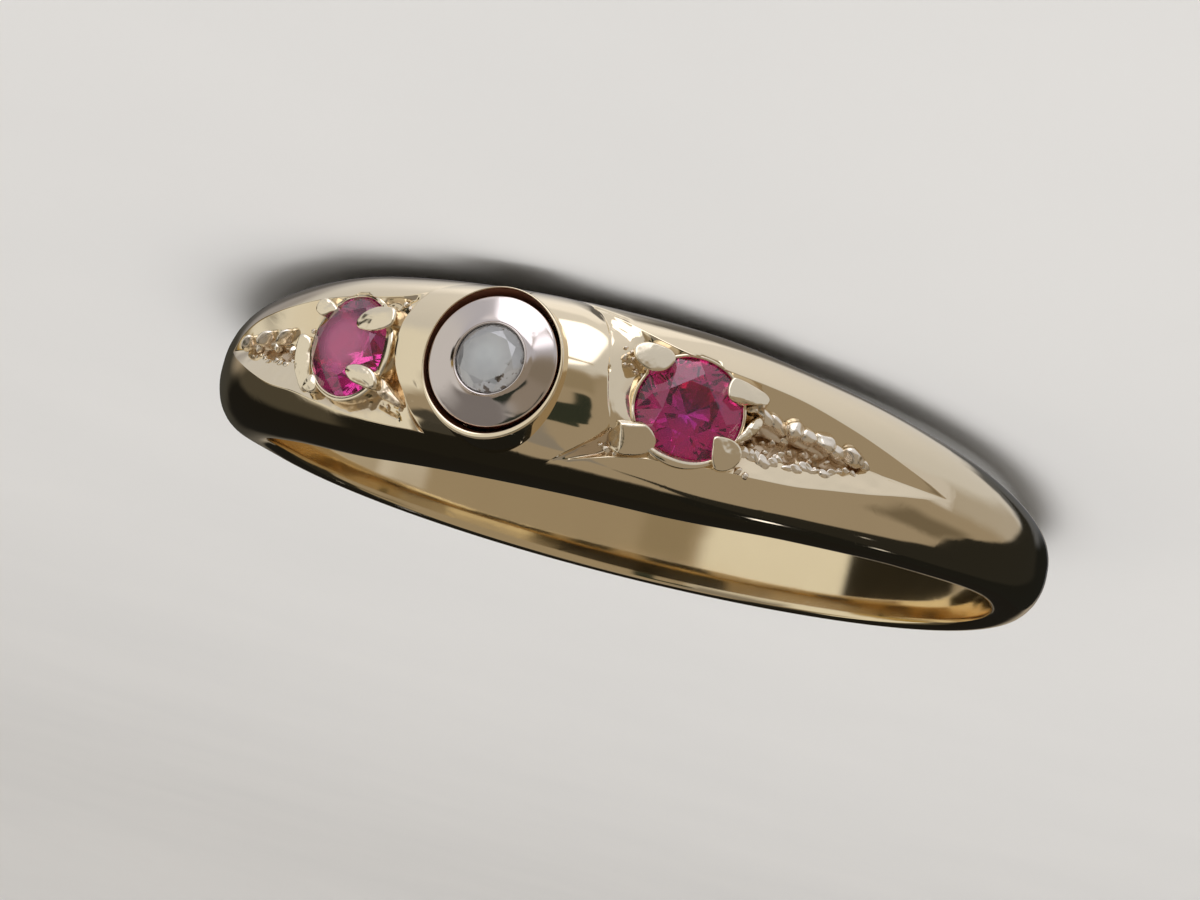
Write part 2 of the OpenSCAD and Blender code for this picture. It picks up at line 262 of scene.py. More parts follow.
def surface(a, z, hollow=True):
    """Outer surface of the band with its recesses, cup opening and seats."""
    base = dome(a, z)
    up, low = half_open(a, 1), half_open(a, -1)
    h = np.where(z > 0, up, low)
    d = cut_depth(a)
    hh = np.maximum(h, 1e-3)
    re = dome(a, hh)
    rc = dome(a, (up + low) / 2) - d
    zz = np.sqrt(z**2 + .018**2)
    v = rc + (re - rc) * zz / hh
    p = smax0(base - v, .012) * (h > .004)
    x = base * np.abs(np.sin(np.radians(a)))
    u = x - boss_x(a, z)
    sunk = 1 - smooth(-.84, -.70, z)
    first = .04 + .40 * sunk + .10 * smooth(.9, 1.3, z)
    ramp_a = first * smooth(-.008, .028, u) + (1 - first) * np.clip((u - .01) / (.90 - .5 * sunk), 0, 1) ** 1.25
    ramp_b = .42 * smooth(-.008, .05, u) + .58 * np.clip((u - .04) / .50, 0, 1)
    s = np.where(a > 0, ramp_a, ramp_b) * (u > -.012)
    s = np.where(np.abs(a) > 60, 0, s)
    cut = p * s
    r = base - cut
    # the shoulder of the boss is rounded off, more towards the top
    fall = np.clip((u + .46) / .46, 0, 1.1) * (np.abs(a) < 40)
    far = .010 + (.004 + .036 * smooth(.1, 1.3, z) + .012 * smooth(.2, 1.2, -z)) * smooth(-3, 3, a)
    r = r - far * fall**2 * np.where(u > 0, np.exp(-u / .12), 1)
    # the narrow dark groove beside the boss on the -X side
    slot = np.exp(-(((u - .045) / .030) ** 2)) * (a < 0) * smooth(.0, .05, p)
    r = r - .17 * slot * smooth(-1.60, -1.35, z) * (1 - smooth(.75, 1.15, z))
    # rough, hand cut metal round the claws and grains
    pt = ring_point(a, base, z)
    rough = np.zeros_like(r)
    for a0, sgn in ((RUBY_A, 1), (RUBY_B, -1)):
        t = base * np.sin(np.radians(a - a0))
        rho = np.sqrt(t**2 + z**2)
        ring = smooth(1.0, 1.15, rho) * (1 - smooth(1.40, 1.7, rho)) * smooth(.30, .62, np.abs(z))
        rough = np.maximum(rough, ring * .35)
    ground = floor_zone(a, z)
    tri = corner_zone(a, z)
    grown = 1 - smooth(.30, .42, np.abs(z))
    trail = np.where(np.abs(a) > 26, grown * smooth(26, 27.5, np.abs(a)) * (1 - smooth(41, 44, np.abs(a))), 0) * smooth(.0, .10, z)
    rough = np.maximum(np.maximum(rough, .8 * ground), np.maximum(.55 * tri, np.where(a > 0, .45, .16) * trail))
    inside = smooth(.03, .10, cut)
    r = r - .050 * ground * inside
    r = r + rough * inside * (.016 * tiny(pt) + .030 * chip(pt))
    # the lower wall of the recess was pushed up by the graver: soft, melted looking ripples
    wall_low = (z < 0) * smooth(.02, .12, cut) * smooth(25, 29, np.abs(a)) * (1 - smooth(44, 50, np.abs(a))) * (1 - ground)
    r = r + wall_low * np.where(a > 0, .010, .004) * melt(pt)
    for a1, z1, a2, z2, w, dep in GROOVES:
        ax, az = (a2 - a1) * .18, z2 - z1
        l2 = ax * ax + az * az
        tt = ((a - a1) * .18 * ax + (z - z1) * az) / l2
        q = np.clip(tt, 0, 1)
        dist = np.sqrt(((a - a1) * .18 - q * ax) ** 2 + ((z - z1) - q * az) ** 2)
        r = r - dep * np.exp(-((dist / w) ** 2)) * smooth(0, .18, tt) * (1 - smooth(.85, 1.0, tt))
    # slow waviness left by hand polishing
    edge = smooth(0, .35, half_w(a) - np.abs(z))
    r = r - .006 + (.0042 * np.minimum(hand(pt) - 1, 0) + .0012 * np.minimum(fine_hand(pt) - 1, 0)) * edge
    if hollow:
        r = seats(a, z, r)
        rho = np.sqrt((base * np.sin(np.radians(a))) ** 2 + (.955 * z) ** 2)
        r = np.where((np.abs(a) < 20) & (rho < 1.400), BORE + .95, r)
    return r


def height_at(x, z, centre=0.0):
    """Distance outwards of the surface at x, z in the frame turned to the angle centre (degrees)."""
    x, z = np.broadcast_arrays(np.asarray(x, float), np.asarray(z, float))
    r = np.full(x.shape, 10.6)
    for _ in range(6):
        a = centre + np.degrees(np.arcsin(np.clip(x / r, -.9, .9)))
        r = surface(a, z, False)
    return r * np.cos(np.radians(a - centre))


# ---------------------------------------------------------------------------
# Mesh helpers
# ---------------------------------------------------------------------------
def mesh_object(name, points, faces, material, smooth_faces=True, replaces=None, row=True):
    co = to_row(points) if row else points
    me = bpy.data.meshes.new(name)
    me.from_pydata([tuple(p) for p in co], [], [tuple(f) for f in faces])
    me.validate()
    me.polygons.foreach_set("use_smooth", [smooth_faces] * len(me.polygons))
    me.materials.append(material)
    me.update()
    o = bpy.data.objects.new(name, me)
    bpy.context.scene.collection.objects.link(o)
    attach(o, "root")
    if replaces:
        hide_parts(replaces)
    return o


def grid_faces(n, m, wrap_n, wrap_m):
    i = np.arange(n if wrap_n else n - 1)
    j = np.arange(m if wrap_m else m - 1)
    I, J = np.meshgrid(i, j, indexing="ij")
    a = I * m + J
    b = I * m + (J + 1) % m
    c = ((I + 1) % n) * m + (J + 1) % m
    d = ((I + 1) % n) * m + J
    return np.stack([a, b, c, d], -1).reshape(-1, 4)


def orient(points, faces):
    """Turns every face over if the closed mesh has a negative volume."""
    v = 0.0
    p = np.asarray(points)
    for f in faces:
        q = p[list(f)]
        for k in range(1, len(q) - 1):
            v += np.dot(q[0], np.cross(q[k], q[k + 1]))
    return [tuple(reversed(list(f))) for f in faces] if v < 0 else faces


def orient_quads(points, faces):
    q = points[faces]
    v = np.einsum("ij,ij->i", q[:, 0], np.cross(q[:, 1], q[:, 2])).sum() + np.einsum("ij,ij->i", q[:, 0], np.cross(q[:, 2], q[:, 3])).sum()
    return faces[:, ::-1] if v < 0 else faces


# ---------------------------------------------------------------------------
# Materials
# ---------------------------------------------------------------------------
def new_material(name):
    m = bpy.data.materials.new(name)
    m.use_nodes = True
    nt = m.node_tree
    return m, nt, nt.nodes["Principled BSDF"]


def node(nt, kind, **values):
    n = nt.nodes.new(kind)
    for k, v in values.items():
        if k.startswith("in_"):
            n.inputs[k[3:].replace("_", " ")].default_value = v
        else:
            setattr(n, k, v)
    return n


def metal(name, color, deep, rough_lo, rough_hi, bump=.25, scratch=1.0):
    """Polished metal: its colour deepens where the grime and shade attribute says so, which is partly real grime and
    partly painted shade in hollows and under parts, with faint cloudiness, fine polishing scratches and small pits."""
    m, nt, b = new_material(name)
    b.inputs["Metallic"].default_value = 1.0
    L = nt.links.new
    tc = node(nt, "ShaderNodeTexCoord")
    cloud = node(nt, "ShaderNodeTexNoise", in_Scale=900.0, in_Detail=4.0, in_Roughness=.6)
    L(tc.outputs["Object"], cloud.inputs["Vector"])
    grime_and_shade = node(nt, "ShaderNodeAttribute", attribute_name="grime_and_shade")
    # the colour mixes towards deep with the grime and shade attribute: real grime and painted shade
    mix = node(nt, "ShaderNodeMix", data_type="RGBA")
    mix.inputs["A"].default_value = (*color, 1)
    mix.inputs["B"].default_value = (*deep, 1)
    fac = node(nt, "ShaderNodeMath", operation="MULTIPLY_ADD", use_clamp=True)
    L(cloud.outputs["Fac"], fac.inputs[0])
    fac.inputs[1].default_value = .10
    L(grime_and_shade.outputs["Fac"], fac.inputs[2])
    L(fac.outputs[0], mix.inputs["Factor"])
    L(mix.outputs["Result"], b.inputs["Base Color"])
    # roughness: cloudy, and higher where the metal was cut and left
    rr = node(nt, "ShaderNodeMapRange")
    rr.inputs["To Min"].default_value = rough_lo
    rr.inputs["To Max"].default_value = rough_hi
    L(cloud.outputs["Fac"], rr.inputs["Value"])
    radd = node(nt, "ShaderNodeMath", operation="MULTIPLY_ADD", use_clamp=True)
    L(grime_and_shade.outputs["Fac"], radd.inputs[0])
    radd.inputs[1].default_value = .22
    L(rr.outputs["Result"], radd.inputs[2])
    L(radd.outputs[0], b.inputs["Roughness"])
    # scratches: two stretched noises, thresholded thin
    heights = []
    for k, (sx, sy, sz, rot) in enumerate([(2600, 160, 2600, .35), (180, 2400, 2400, -.5)]):
        mp = node(nt, "ShaderNodeMapping")
        mp.inputs["Rotation"].default_value = (rot, rot * .6, rot * 1.7)
        mp.inputs["Scale"].default_value = (sx, sy, sz)
        L(tc.outputs["Object"], mp.inputs["Vector"])
        n = node(nt, "ShaderNodeTexNoise", in_Scale=1.0, in_Detail=2.0, in_Roughness=.5)
        L(mp.outputs["Vector"], n.inputs["Vector"])
        r = node(nt, "ShaderNodeMapRange", interpolation_type="SMOOTHSTEP")
        r.inputs["From Min"].default_value = .60
        r.inputs["From Max"].default_value = .72
        r.inputs["To Max"].default_value = -1.0 * scratch
        L(n.outputs["Fac"], r.inputs["Value"])
        heights.append(r)
    pits = node(nt, "ShaderNodeTexVoronoi", in_Scale=1500.0)
    L(tc.outputs["Object"], pits.inputs["Vector"])
    pr = node(nt, "ShaderNodeMapRange", interpolation_type="SMOOTHSTEP")
    pr.inputs["From Min"].default_value = 0.0
    pr.inputs["From Max"].default_value = .09
    pr.inputs["To Min"].default_value = -1.0
    pr.inputs["To Max"].default_value = 0.0
    L(pits.outputs["Distance"], pr.inputs["Value"])
    s1 = node(nt, "ShaderNodeMath", operation="ADD")
    L(heights[0].outputs["Result"], s1.inputs[0])
    L(heights[1].outputs["Result"], s1.inputs[1])
    s2 = node(nt, "ShaderNodeMath", operation="ADD")
    L(s1.outputs[0], s2.inputs[0])
    L(pr.outputs["Result"], s2.inputs[1])
    bp = node(nt, "ShaderNodeBump")
    bp.inputs["Strength"].default_value = bump
    bp.inputs["Distance"].default_value = 2.0e-6
    L(s2.outputs[0], bp.inputs["Height"])
    L(bp.outputs["Normal"], b.inputs["Normal"])
    return m


GOLD = metal("gold_polished", (.885, .762, .555), (.60, .46, .33), .045, .085)
GOLD_CUT = metal("gold_cut", (.89, .785, .60), (.60, .45, .32), .10, .17, bump=.5)
# grains in a paler, whiter copy of the gold: painted light, for their bright look
GOLD_GRAIN_LIT = metal("gold_grain", (.96, .88, .76), (.66, .50, .36), .20, .32, bump=.5)
GOLD_BORE = metal("gold_bore", (.885, .745, .50), (.60, .40, .24), .06, .12, bump=.12)
# a darker, redder copy of the gold on rougher metal: painted shade for the inside of the cup
GOLD_RAW_SHADED = metal("gold_raw_shaded", (.66, .40, .29), (.45, .26, .18), .38, .5, bump=.6)
WHITE = metal("white_metal", (.68, .615, .585), (.35, .27, .24), .07, .12)


def gem(name, rim, heart, spot, reach, ior, rough, milky, scale, fleck=None, bloom=False):
    """Cut stone: clear glass whose colour turns from heart to rim with the distance from the place spot, with drifts of
    tiny inclusions that are a little milky. fleck gives dark inclusions on one side: their colour and direction. bloom
    gathers the milk round the place spot and leaves the rim clear."""
    m, nt, b = new_material(name)
    L = nt.links.new
    tc = node(nt, "ShaderNodeTexCoord")
    n = node(nt, "ShaderNodeTexNoise", in_Scale=scale, in_Detail=2.0, in_Roughness=.5)
    L(tc.outputs["Object"], n.inputs["Vector"])
    away = node(nt, "ShaderNodeVectorMath", operation="DISTANCE")
    L(tc.outputs["Object"], away.inputs[0])
    away.inputs[1].default_value = spot
    r = node(nt, "ShaderNodeMapRange")
    r.inputs["From Min"].default_value, r.inputs["From Max"].default_value = reach[0], reach[1]
    L(away.outputs["Value"], r.inputs["Value"])
    drift = node(nt, "ShaderNodeMath", operation="MULTIPLY_ADD", use_clamp=True)
    L(n.outputs["Fac"], drift.inputs[0])
    drift.inputs[1].default_value = .5
    L(r.outputs["Result"], drift.inputs[2])
    ramp = node(nt, "ShaderNodeValToRGB")
    ramp.color_ramp.elements[0].position, ramp.color_ramp.elements[1].position = .25, 1.0
    ramp.color_ramp.elements[0].color = (*heart, 1)
    ramp.color_ramp.elements[1].color = (*rim, 1)
    L(drift.outputs[0], ramp.inputs["Fac"])
    color = ramp.outputs["Color"]
    if fleck:
        n2 = node(nt, "ShaderNodeTexNoise", in_Scale=5200.0, in_Detail=2.0, in_Roughness=.6)
        L(tc.outputs["Object"], n2.inputs["Vector"])
        sub = node(nt, "ShaderNodeVectorMath", operation="SUBTRACT")
        L(tc.outputs["Object"], sub.inputs[0])
        sub.inputs[1].default_value = spot
        side = node(nt, "ShaderNodeVectorMath", operation="DOT_PRODUCT")
        L(sub.outputs["Vector"], side.inputs[0])
        side.inputs[1].default_value = fleck[1]
        near = node(nt, "ShaderNodeMapRange", interpolation_type="SMOOTHSTEP")
        near.inputs["From Min"].default_value, near.inputs["From Max"].default_value = .00030, .00048
        L(side.outputs["Value"], near.inputs["Value"])
        dots = node(nt, "ShaderNodeMapRange", interpolation_type="SMOOTHSTEP")
        dots.inputs["From Min"].default_value, dots.inputs["From Max"].default_value = .50, .58
        L(n2.outputs["Fac"], dots.inputs["Value"])
        both = node(nt, "ShaderNodeMath", operation="MULTIPLY")
        L(near.outputs["Result"], both.inputs[0])
        L(dots.outputs["Result"], both.inputs[1])
        mix = node(nt, "ShaderNodeMix", data_type="RGBA")
        L(both.outputs[0], mix.inputs["Factor"])
        L(color, mix.inputs["A"])
        mix.inputs["B"].default_value = (*fleck[0], 1)
        color = mix.outputs["Result"]
    L(color, b.inputs["Base Color"])
    tr = node(nt, "ShaderNodeMapRange")
    tr.inputs["From Min"].default_value, tr.inputs["From Max"].default_value = .35, .70
    tr.inputs["To Min"].default_value, tr.inputs["To Max"].default_value = 1 - milky * .7, 1 - milky
    if bloom:
        tr.inputs["From Min"].default_value, tr.inputs["From Max"].default_value = .35, .95
        tr.inputs["To Min"].default_value, tr.inputs["To Max"].default_value = 1 - milky * 1.25, 1 - milky * .2
        L(drift.outputs[0], tr.inputs["Value"])
    else:
        L(n.outputs["Fac"], tr.inputs["Value"])
    L(tr.outputs["Result"], b.inputs["Transmission Weight"])
    b.inputs["IOR"].default_value = ior
    b.inputs["Roughness"].default_value = rough
    return m


def stone_spot(a, r):
    t = math.radians(a)
    return tuple(to_row(np.array([r * math.sin(t), -r * math.cos(t), 0.0])))


# ---------------------------------------------------------------------------
# Band
# ---------------------------------------------------------------------------
def section_lines():
    """The lines that run along the band, from one side of the outside to the other. Each is (kind, side, number)."""
    lines = []
    flank = 1 - (1 - np.linspace(0, 1, 17)) ** 1.25
    lip = [-1, -.5, -.2, 0, .2, .5, 1]
    wall = np.linspace(0, 1, 32)[1:-1]
    for sgn in (-1, 1):
        part = [("flank", sgn, t) for t in flank[:-1]]
        part += [("lip", sgn, t) for t in lip]
        part += [("wall", sgn, t) for t in wall]
        part += [("crease", sgn, t) for t in (1, .5)]
        if sgn < 0:
            lines += part + [("crease", -1, 0)]
        else:
            lines += part[::-1]
    return lines


LIP = .03
CREASE = .03


def section_z(lines, a):
    """z of every line at the angles a (stations x lines)."""
    z = np.zeros_like(a)
    for j, (kind, sgn, t) in enumerate(lines):
        aj = a[:, j]
        w, n = half_w(aj), full(aj)
        h = np.clip(half_open(aj, sgn), .16, None)
        if kind == "flank":
            edge = np.clip((h + LIP) / w, 0, .999)
            s1 = np.arcsin(edge ** (n / 2))
            s = math.pi / 2 + (s1 - math.pi / 2) * t
            v = w * np.abs(np.sin(s)) ** (2 / n)
            v = np.where(t == 0, w, v)
        elif kind == "lip":
            v = h - LIP * t
        elif kind == "wall":
            v = (h - LIP) + (CREASE - (h - LIP)) * t
        else:
            v = CREASE * t + 0 * h
        z[:, j] = sgn * v
    return z


def build_band():
    lines = section_lines()
    m = len(lines)
    kinds = []
    inner = np.linspace(0, 1, 52)[:-1]
    edge_u = [-.030, -.018, -.008, 0, .008, .018, .03, .045, .06, .08]
    for sgn in (-1, 1):
        part = [("boss", sgn, t) for t in inner if t > 0 or sgn > 0]
        part += [("edge", sgn, t) for t in edge_u]
        part += [("out", sgn, t) for t in np.linspace(0, 1, 216)[1:]]
        kinds.append(part)
    back = np.linspace(57.5, 360 - 50.0, 80)[1:-1]
    order = list(kinds[1]) + [("back", 1, t) for t in back] + list(reversed(kinds[0]))
    n = len(order)
    kind = np.array([k for k, _, _ in order])
    sgn = np.array([s for _, s, _ in order], float)[:, None]
    par = np.array([t for _, _, t in order], float)[:, None]
    a = np.where(kind[:, None] == "back", np.where(par <= 180, par, par - 360), sgn * 10) + np.zeros((n, m))
    for _ in range(7):
        z = section_z(lines, a)
        new = a.copy()
        k = kind == "boss"
        new[k] = (sgn * par * boss_angle(sgn, z, edge_u[0]))[k]
        k = kind == "edge"
        x = boss_x(sgn + 0 * z, z)[k] + par[k]
        g = np.abs(a[k])
        for _ in range(5):
            g = np.degrees(np.arcsin(np.clip(x / dome(g * sgn[k], z[k]), -.9, .9)))
        new[k] = sgn[k] * g
        k = kind == "out"
        b2 = boss_angle(sgn, z, edge_u[-1])
        tip = np.where(sgn > 0, 57.5, 50.0)
        knee = 19.0
        warp = b2 + (knee - b2) * par * 4.6
        straight = knee + (tip - knee) * (par - 1 / 4.6) / (1 - 1 / 4.6)
        new[k] = (sgn * np.where(par < 1 / 4.6, warp, straight))[k]
        a = new
    z = section_z(lines, a)
    # away from the recesses the lines spread out evenly
    far = smooth(60, 95, np.abs(a))
    t = np.linspace(-1, 1, m)[None, :]
    w, nn = half_w(a), full(a)
    even = np.sign(t) * w * np.abs(np.sin(t * math.pi / 2)) ** (2 / nn)
    z = z * (1 - far) + even * far
    r = surface(a, z)
    rims, bores = 6, 16

    def side(aj, sg):
        wj = half_w(aj)
        out = []
        for k in range(1, rims + 1):
            ang = (1 - k / rims) * math.pi / 2
            low = (.085 if sg < 0 else .02) * np.minimum(wj - RIM_D - .47, .6)
            out.append(ring_point(aj, BORE + low + (RIM_R - low) * (1 - math.cos(ang)), sg * (wj - RIM_D + RIM_D * math.sin(ang))))
        return out
    lo_a, hi_a = a[:, :1], a[:, -1:]
    bore = []
    for k in range(1, bores):
        q = k / bores
        aa = hi_a + (lo_a - hi_a) * q
        inner_w = half_w(hi_a) - RIM_D
        zz = inner_w * (1 - 2 * q)
        flare = np.clip((np.abs(zz) - .47) / (inner_w - .47), 0, 1) * np.minimum(inner_w - .47, .6)
        bore.append(ring_point(aa, BORE + np.where(zz < 0, .085, .02) * flare, zz))
    full_grid = np.concatenate([ring_point(a, r, z)] + side(hi_a, 1) + bore + side(lo_a, -1)[::-1], axis=1)
    pts = full_grid.reshape(-1, 3)
    return pts, orient_quads(pts, grid_faces(n, full_grid.shape[1], True, True))


pts, faces = build_band()
band = mesh_object("band_body", pts, faces.tolist(), GOLD, replaces="band")
band.data.materials.append(GOLD_BORE)
far = np.hypot(pts[:, 0], pts[:, 1])[faces].max(1)
band.data.polygons.foreach_set("material_index", (far < BORE + .075).astype(np.int32))


def grime_and_shade_of(points):
    """How grimy and unpolished a place is, with painted shade: on the rough ground, in the grooves and close to the
    claws, and only where it is sunk below the dome.
    """
    p = np.asarray(points)
    r = np.hypot(p[:, 0], p[:, 1])
    a = np.degrees(np.arctan2(p[:, 0], -p[:, 1]))
    z = p[:, 2]
    base = dome(a, z)
    deep = np.clip((base - r) / .5, 0, 1)
    u = base * np.abs(np.sin(np.radians(a))) - boss_x(a, z)
    out = np.maximum(floor_zone(a, z), .85 * corner_zone(a, z))
    # painted shadow along the narrow groove beside the boss on the -X side
    out = np.maximum(out, np.exp(-(((u - .05) / .05) ** 2)) * (a < 0) * (a > -20) * .9)
    for a0, sg in ((RUBY_A, 1), (RUBY_B, -1)):
        t = r * np.sin(np.radians(a - a0))
        rho = np.hypot(t, z)
        ring = smooth(1.0, 1.12, rho) * (1 - smooth(1.3, 1.6, rho)) * smooth(.35, .7, np.abs(z))
        out = np.maximum(out, .5 * ring)
    # painted shade: it only shows on places sunk below the dome, fully from about 0.15 mm deep
    out = out * smooth(.05, .3, deep)
    return np.where((r < BORE + .3) | (np.abs(a) > 58), 0, out)


def set_grime_and_shade(o, points, scale=1.0, add=0.0):
    at = o.data.attributes.new("grime_and_shade", "FLOAT", "POINT")
    at.data.foreach_set("value", np.clip(grime_and_shade_of(points) * scale + add, 0, 1).astype(np.float32))


set_grime_and_shade(band, pts, .8)


# ---------------------------------------------------------------------------
# Cup, collet
# ---------------------------------------------------------------------------
def lathe(profile, count, wobble=None, seed=0):
    """Turns a closed profile of (radius, height) about the front's middle axis. Ring frame points and faces."""
    prof = np.array(profile, float)
    k = len(prof)
    th = np.linspace(0, 2 * math.pi, count, endpoint=False)
    rr = np.repeat(prof[None, :, 0], count, 0)
    hh = np.repeat(prof[None, :, 1], count, 0)
    if wobble:
        rng = np.random.RandomState(seed)
        for f in range(2, 7):
            ph, am = rng.uniform(0, 6.28), wobble * rng.uniform(.3, 1) / f
            rr = rr + (am * np.cos(f * th + ph))[:, None] * (rr > .02)
            hh = hh + (am * .5 * np.cos(f * th + ph * 2))[:, None] * (rr > .02)
    x = rr * np.cos(th)[:, None]
    z = rr * np.sin(th)[:, None]
    p = np.stack([x, -hh, z], -1).reshape(-1, 3)
    f = grid_faces(count, k, True, True)
    return p, orient_quads(p, f)


def rounded(points, radii, steps=5):
    """Closed profile with each corner rounded off by its own radius."""
    out = []
    n = len(points)
    for i in range(n):
        p0, p1, p2 = (np.array(points[(i + k) % n], float) for k in (-1, 0, 1))
        r = radii[i]
        if r <= 0:
            out.append(tuple(p1))
            continue
        d0, d2 = p0 - p1, p2 - p1
        l0, l2 = np.linalg.norm(d0), np.linalg.norm(d2)
        r = min(r, l0 * .49, l2 * .49)
        a, b = p1 + d0 / l0 * r, p1 + d2 / l2 * r
        for s in range(steps + 1):
            t = s / steps
            out.append(tuple((1 - t) ** 2 * a + 2 * t * (1 - t) * p1 + t * t * b))
    return out


CUP_IN = Table([(0, 1.410), (45, 1.440), (90, 1.492), (135, 1.455), (180, 1.412), (225, 1.440), (270, 1.478), (315, 1.445), (360, 1.410)])
CUP_RIM = Table([(0, .070), (45, .040), (90, .026), (135, .024), (180, .026), (225, .070), (270, .118), (315, .105), (360, .070)])


def build_cup():
    """Thin walled cup. Its mouth is a little taller than wide and its rim was filed thinner above and on the left."""
    count = 256
    th = np.linspace(0, 2 * math.pi, count, endpoint=False)
    deg = np.degrees(th)
    ri, wall = CUP_IN(deg), CUP_RIM(deg)
    wob = sum(math.cos(k) * np.cos(k * th + k * 1.7) / k for k in range(2, 7)) * .005
    foot = np.maximum(ri + wall + .012, 1.50) + .02 * (1 - np.cos(2 * th)) * (np.sin(th) < 0)
    rows = []

    def row(r, h):
        rows.append(np.stack([r * np.cos(th), -(h + 0 * th), r * np.sin(th)], -1))
    top = CUP_TOP + wob * .6
    row(1.372 + 0 * th, 9.72)
    row(1.374 + 0 * th, CUP_TOP - .34)
    row(1.380 + .25 * (ri - 1.38), CUP_TOP - .22)
    row(ri - .022 - .25 * (ri - 1.41), top - .12)
    row(ri - .010, top - .045)
    row(ri - .004, top - .016)
    row(ri + .002, top - .004)
    row(ri + .10 * wall + .002, top + .0)
    row(ri + .45 * wall, top + .002)
    row(ri + .80 * wall, top - .001)
    row(ri + wall - .004, top - .009)
    row(ri + wall, top - .022)
    row(ri + wall + .006, top - .07)
    for q in (.2, .45, .7, 1):
        row(ri + wall + .006 + (foot - ri - wall - .006) * q, top - .07 - .55 * q)
    row(foot, 9.72)
    g = np.stack(rows, 1)
    q = g.reshape(-1, 3)
    return q, orient_quads(q, grid_faces(count, g.shape[1], True, True)), g.shape[1]


p, f, k = build_cup()
cup = mesh_object("cup", p, f.tolist(), GOLD)
at = cup.data.attributes.new("grime_and_shade", "FLOAT", "POINT")
at.data.foreach_set("value", np.zeros(len(p), np.float32))
# the inside wall of the cup, below its rim, gets the darker, redder gold: painted shade
cup.data.materials.append(GOLD_RAW_SHADED)
lanes = f.min(1) % k
lanes = np.array([min(set(v % k for v in q) - ({0} if k - 1 in set(v % k for v in q) else set())) for q in f.tolist()])
cup.data.polygons.foreach_set("material_index", (lanes < 4).astype(np.int32))

# the dish: how far its surface leans outwards at each radius, added up from its edge to the tube
LEANS = Table([(.755, 50), (.765, 41), (.78, 32), (.80, 25), (.84, 19), (.88, 15.5), (.94, 13), (1.05, 12), (1.15, 12), (1.25, 12.5), (1.29, 17), (1.32, 38), (1.337, 80)])


def dish():
    rs = np.concatenate([np.linspace(DISH_R, 1.29, 9), np.linspace(1.28, .90, 16), np.linspace(.885, TUBE_R + .003, 16)])
    h, out = DISH_EDGE - .03, []
    for i, r in enumerate(rs):
        if i:
            h += math.tan(math.radians(float(LEANS(np.array([(r + rs[i - 1]) / 2]))[0]))) * (rs[i - 1] - r)
        out.append((r, h))
    return out


DISH = dish()
join = DISH[-1][1]
tube = rounded([(TUBE_R, join + .25 * (TUBE_TOP - join)), (TUBE_R - .004, TUBE_TOP - .010), (TUBE_R - .016, TUBE_TOP), (TUBE_R - TUBE_WALL + .012, TUBE_TOP - .004),
                (TUBE_R - TUBE_WALL, TUBE_TOP - .020), (TUBE_R - TUBE_WALL - .004, TUBE_TOP - .20), (.60, TUBE_TOP - .24), (.45, TUBE_TOP - .46), (.15, TUBE_TOP - .62)],
               [0, .006, .006, .008, .008, .01, .03, .03, 0], 4)
p, f = lathe([(.15, 10.05), (1.25, 10.05), (1.33, 10.10), (DISH_R - .002, 10.60)] + DISH + tube, 240, .003, 6)
collet = mesh_object("collet_dish", p, f.tolist(), WHITE, replaces="collet")
at = collet.data.attributes.new("grime_and_shade", "FLOAT", "POINT")
# grime and painted shade inside the tube, under the stone
rad = np.hypot(p[:, 0], p[:, 2])
inside_tube = (rad < TUBE_R - TUBE_WALL + .006) * (-p[:, 1] < TUBE_TOP - .19)
at.data.foreach_set("value", np.clip(.8 * inside_tube, 0, 1).astype(np.float32))


# ---------------------------------------------------------------------------
# Stones
# ---------------------------------------------------------------------------
def brilliant(r, table, crown, girdle, pavilion, star, low, turn_deg, seed, jitter):
    """Round brilliant: points (x, y, height) and faces. Height 0 is the bottom of the girdle."""
    rng = np.random.RandomState(seed)
    P, F = [], []

    def add(rad, deg, h):
        j = rng.normal(size=3) * jitter
        t = math.radians(deg + turn_deg)
        P.append((rad * math.cos(t) + j[0], rad * math.sin(t) + j[1], h + j[2] * .5))
        return len(P) - 1
    top = girdle + crown
    rs = table + (r - table) * star
    hs = top + (rs * math.cos(math.radians(22.5)) - table) * (girdle - top) / (r - table)
    T = [add(table, 45 * i, top) for i in range(8)]
    S = [add(rs, 45 * i + 22.5, hs) for i in range(8)]
    G = [add(r, 11.25 * k, girdle) for k in range(32)]
    g = [add(r, 11.25 * k, 0) for k in range(32)]
    rp = r * low
    hp = -pavilion + rp * math.cos(math.radians(22.5)) * pavilion / r
    L = [add(rp, 45 * i + 22.5, hp) for i in range(8)]
    C = add(0, 0, -pavilion)
    F.append(tuple(T))
    for i in range(8):
        n = (i + 1) % 8
        F.append((T[i], S[i], T[n]))
        k = 4 * i
        F.append((T[i], S[(i - 1) % 8], G[k]))
        F.append((T[i], G[k], S[i]))
        for q in range(4):
            F.append((S[i], G[k + q], G[(k + q + 1) % 32]))
            F.append((L[i], g[(k + q + 1) % 32], g[k + q]))
        F.append((C, L[i], g[k]))
        F.append((C, g[k], L[(i - 1) % 8]))
    for k in range(32):
        F.append((G[k], g[k], g[(k + 1) % 32], G[(k + 1) % 32]))
    return np.array(P), F


def place(a, base):
    """Frame at angle a: columns along the band, across it, outwards; origin at distance base."""
    t = math.radians(a)
    e1 = np.array([math.cos(t), math.sin(t), 0])
    e2 = np.array([0, 0, 1.0])
    n = np.array([math.sin(t), -math.cos(t), 0])
    return lambda q: np.asarray(q)[:, :1] * e1 + np.asarray(q)[:, 1:2] * e2 + (np.asarray(q)[:, 2:3] + base) * n
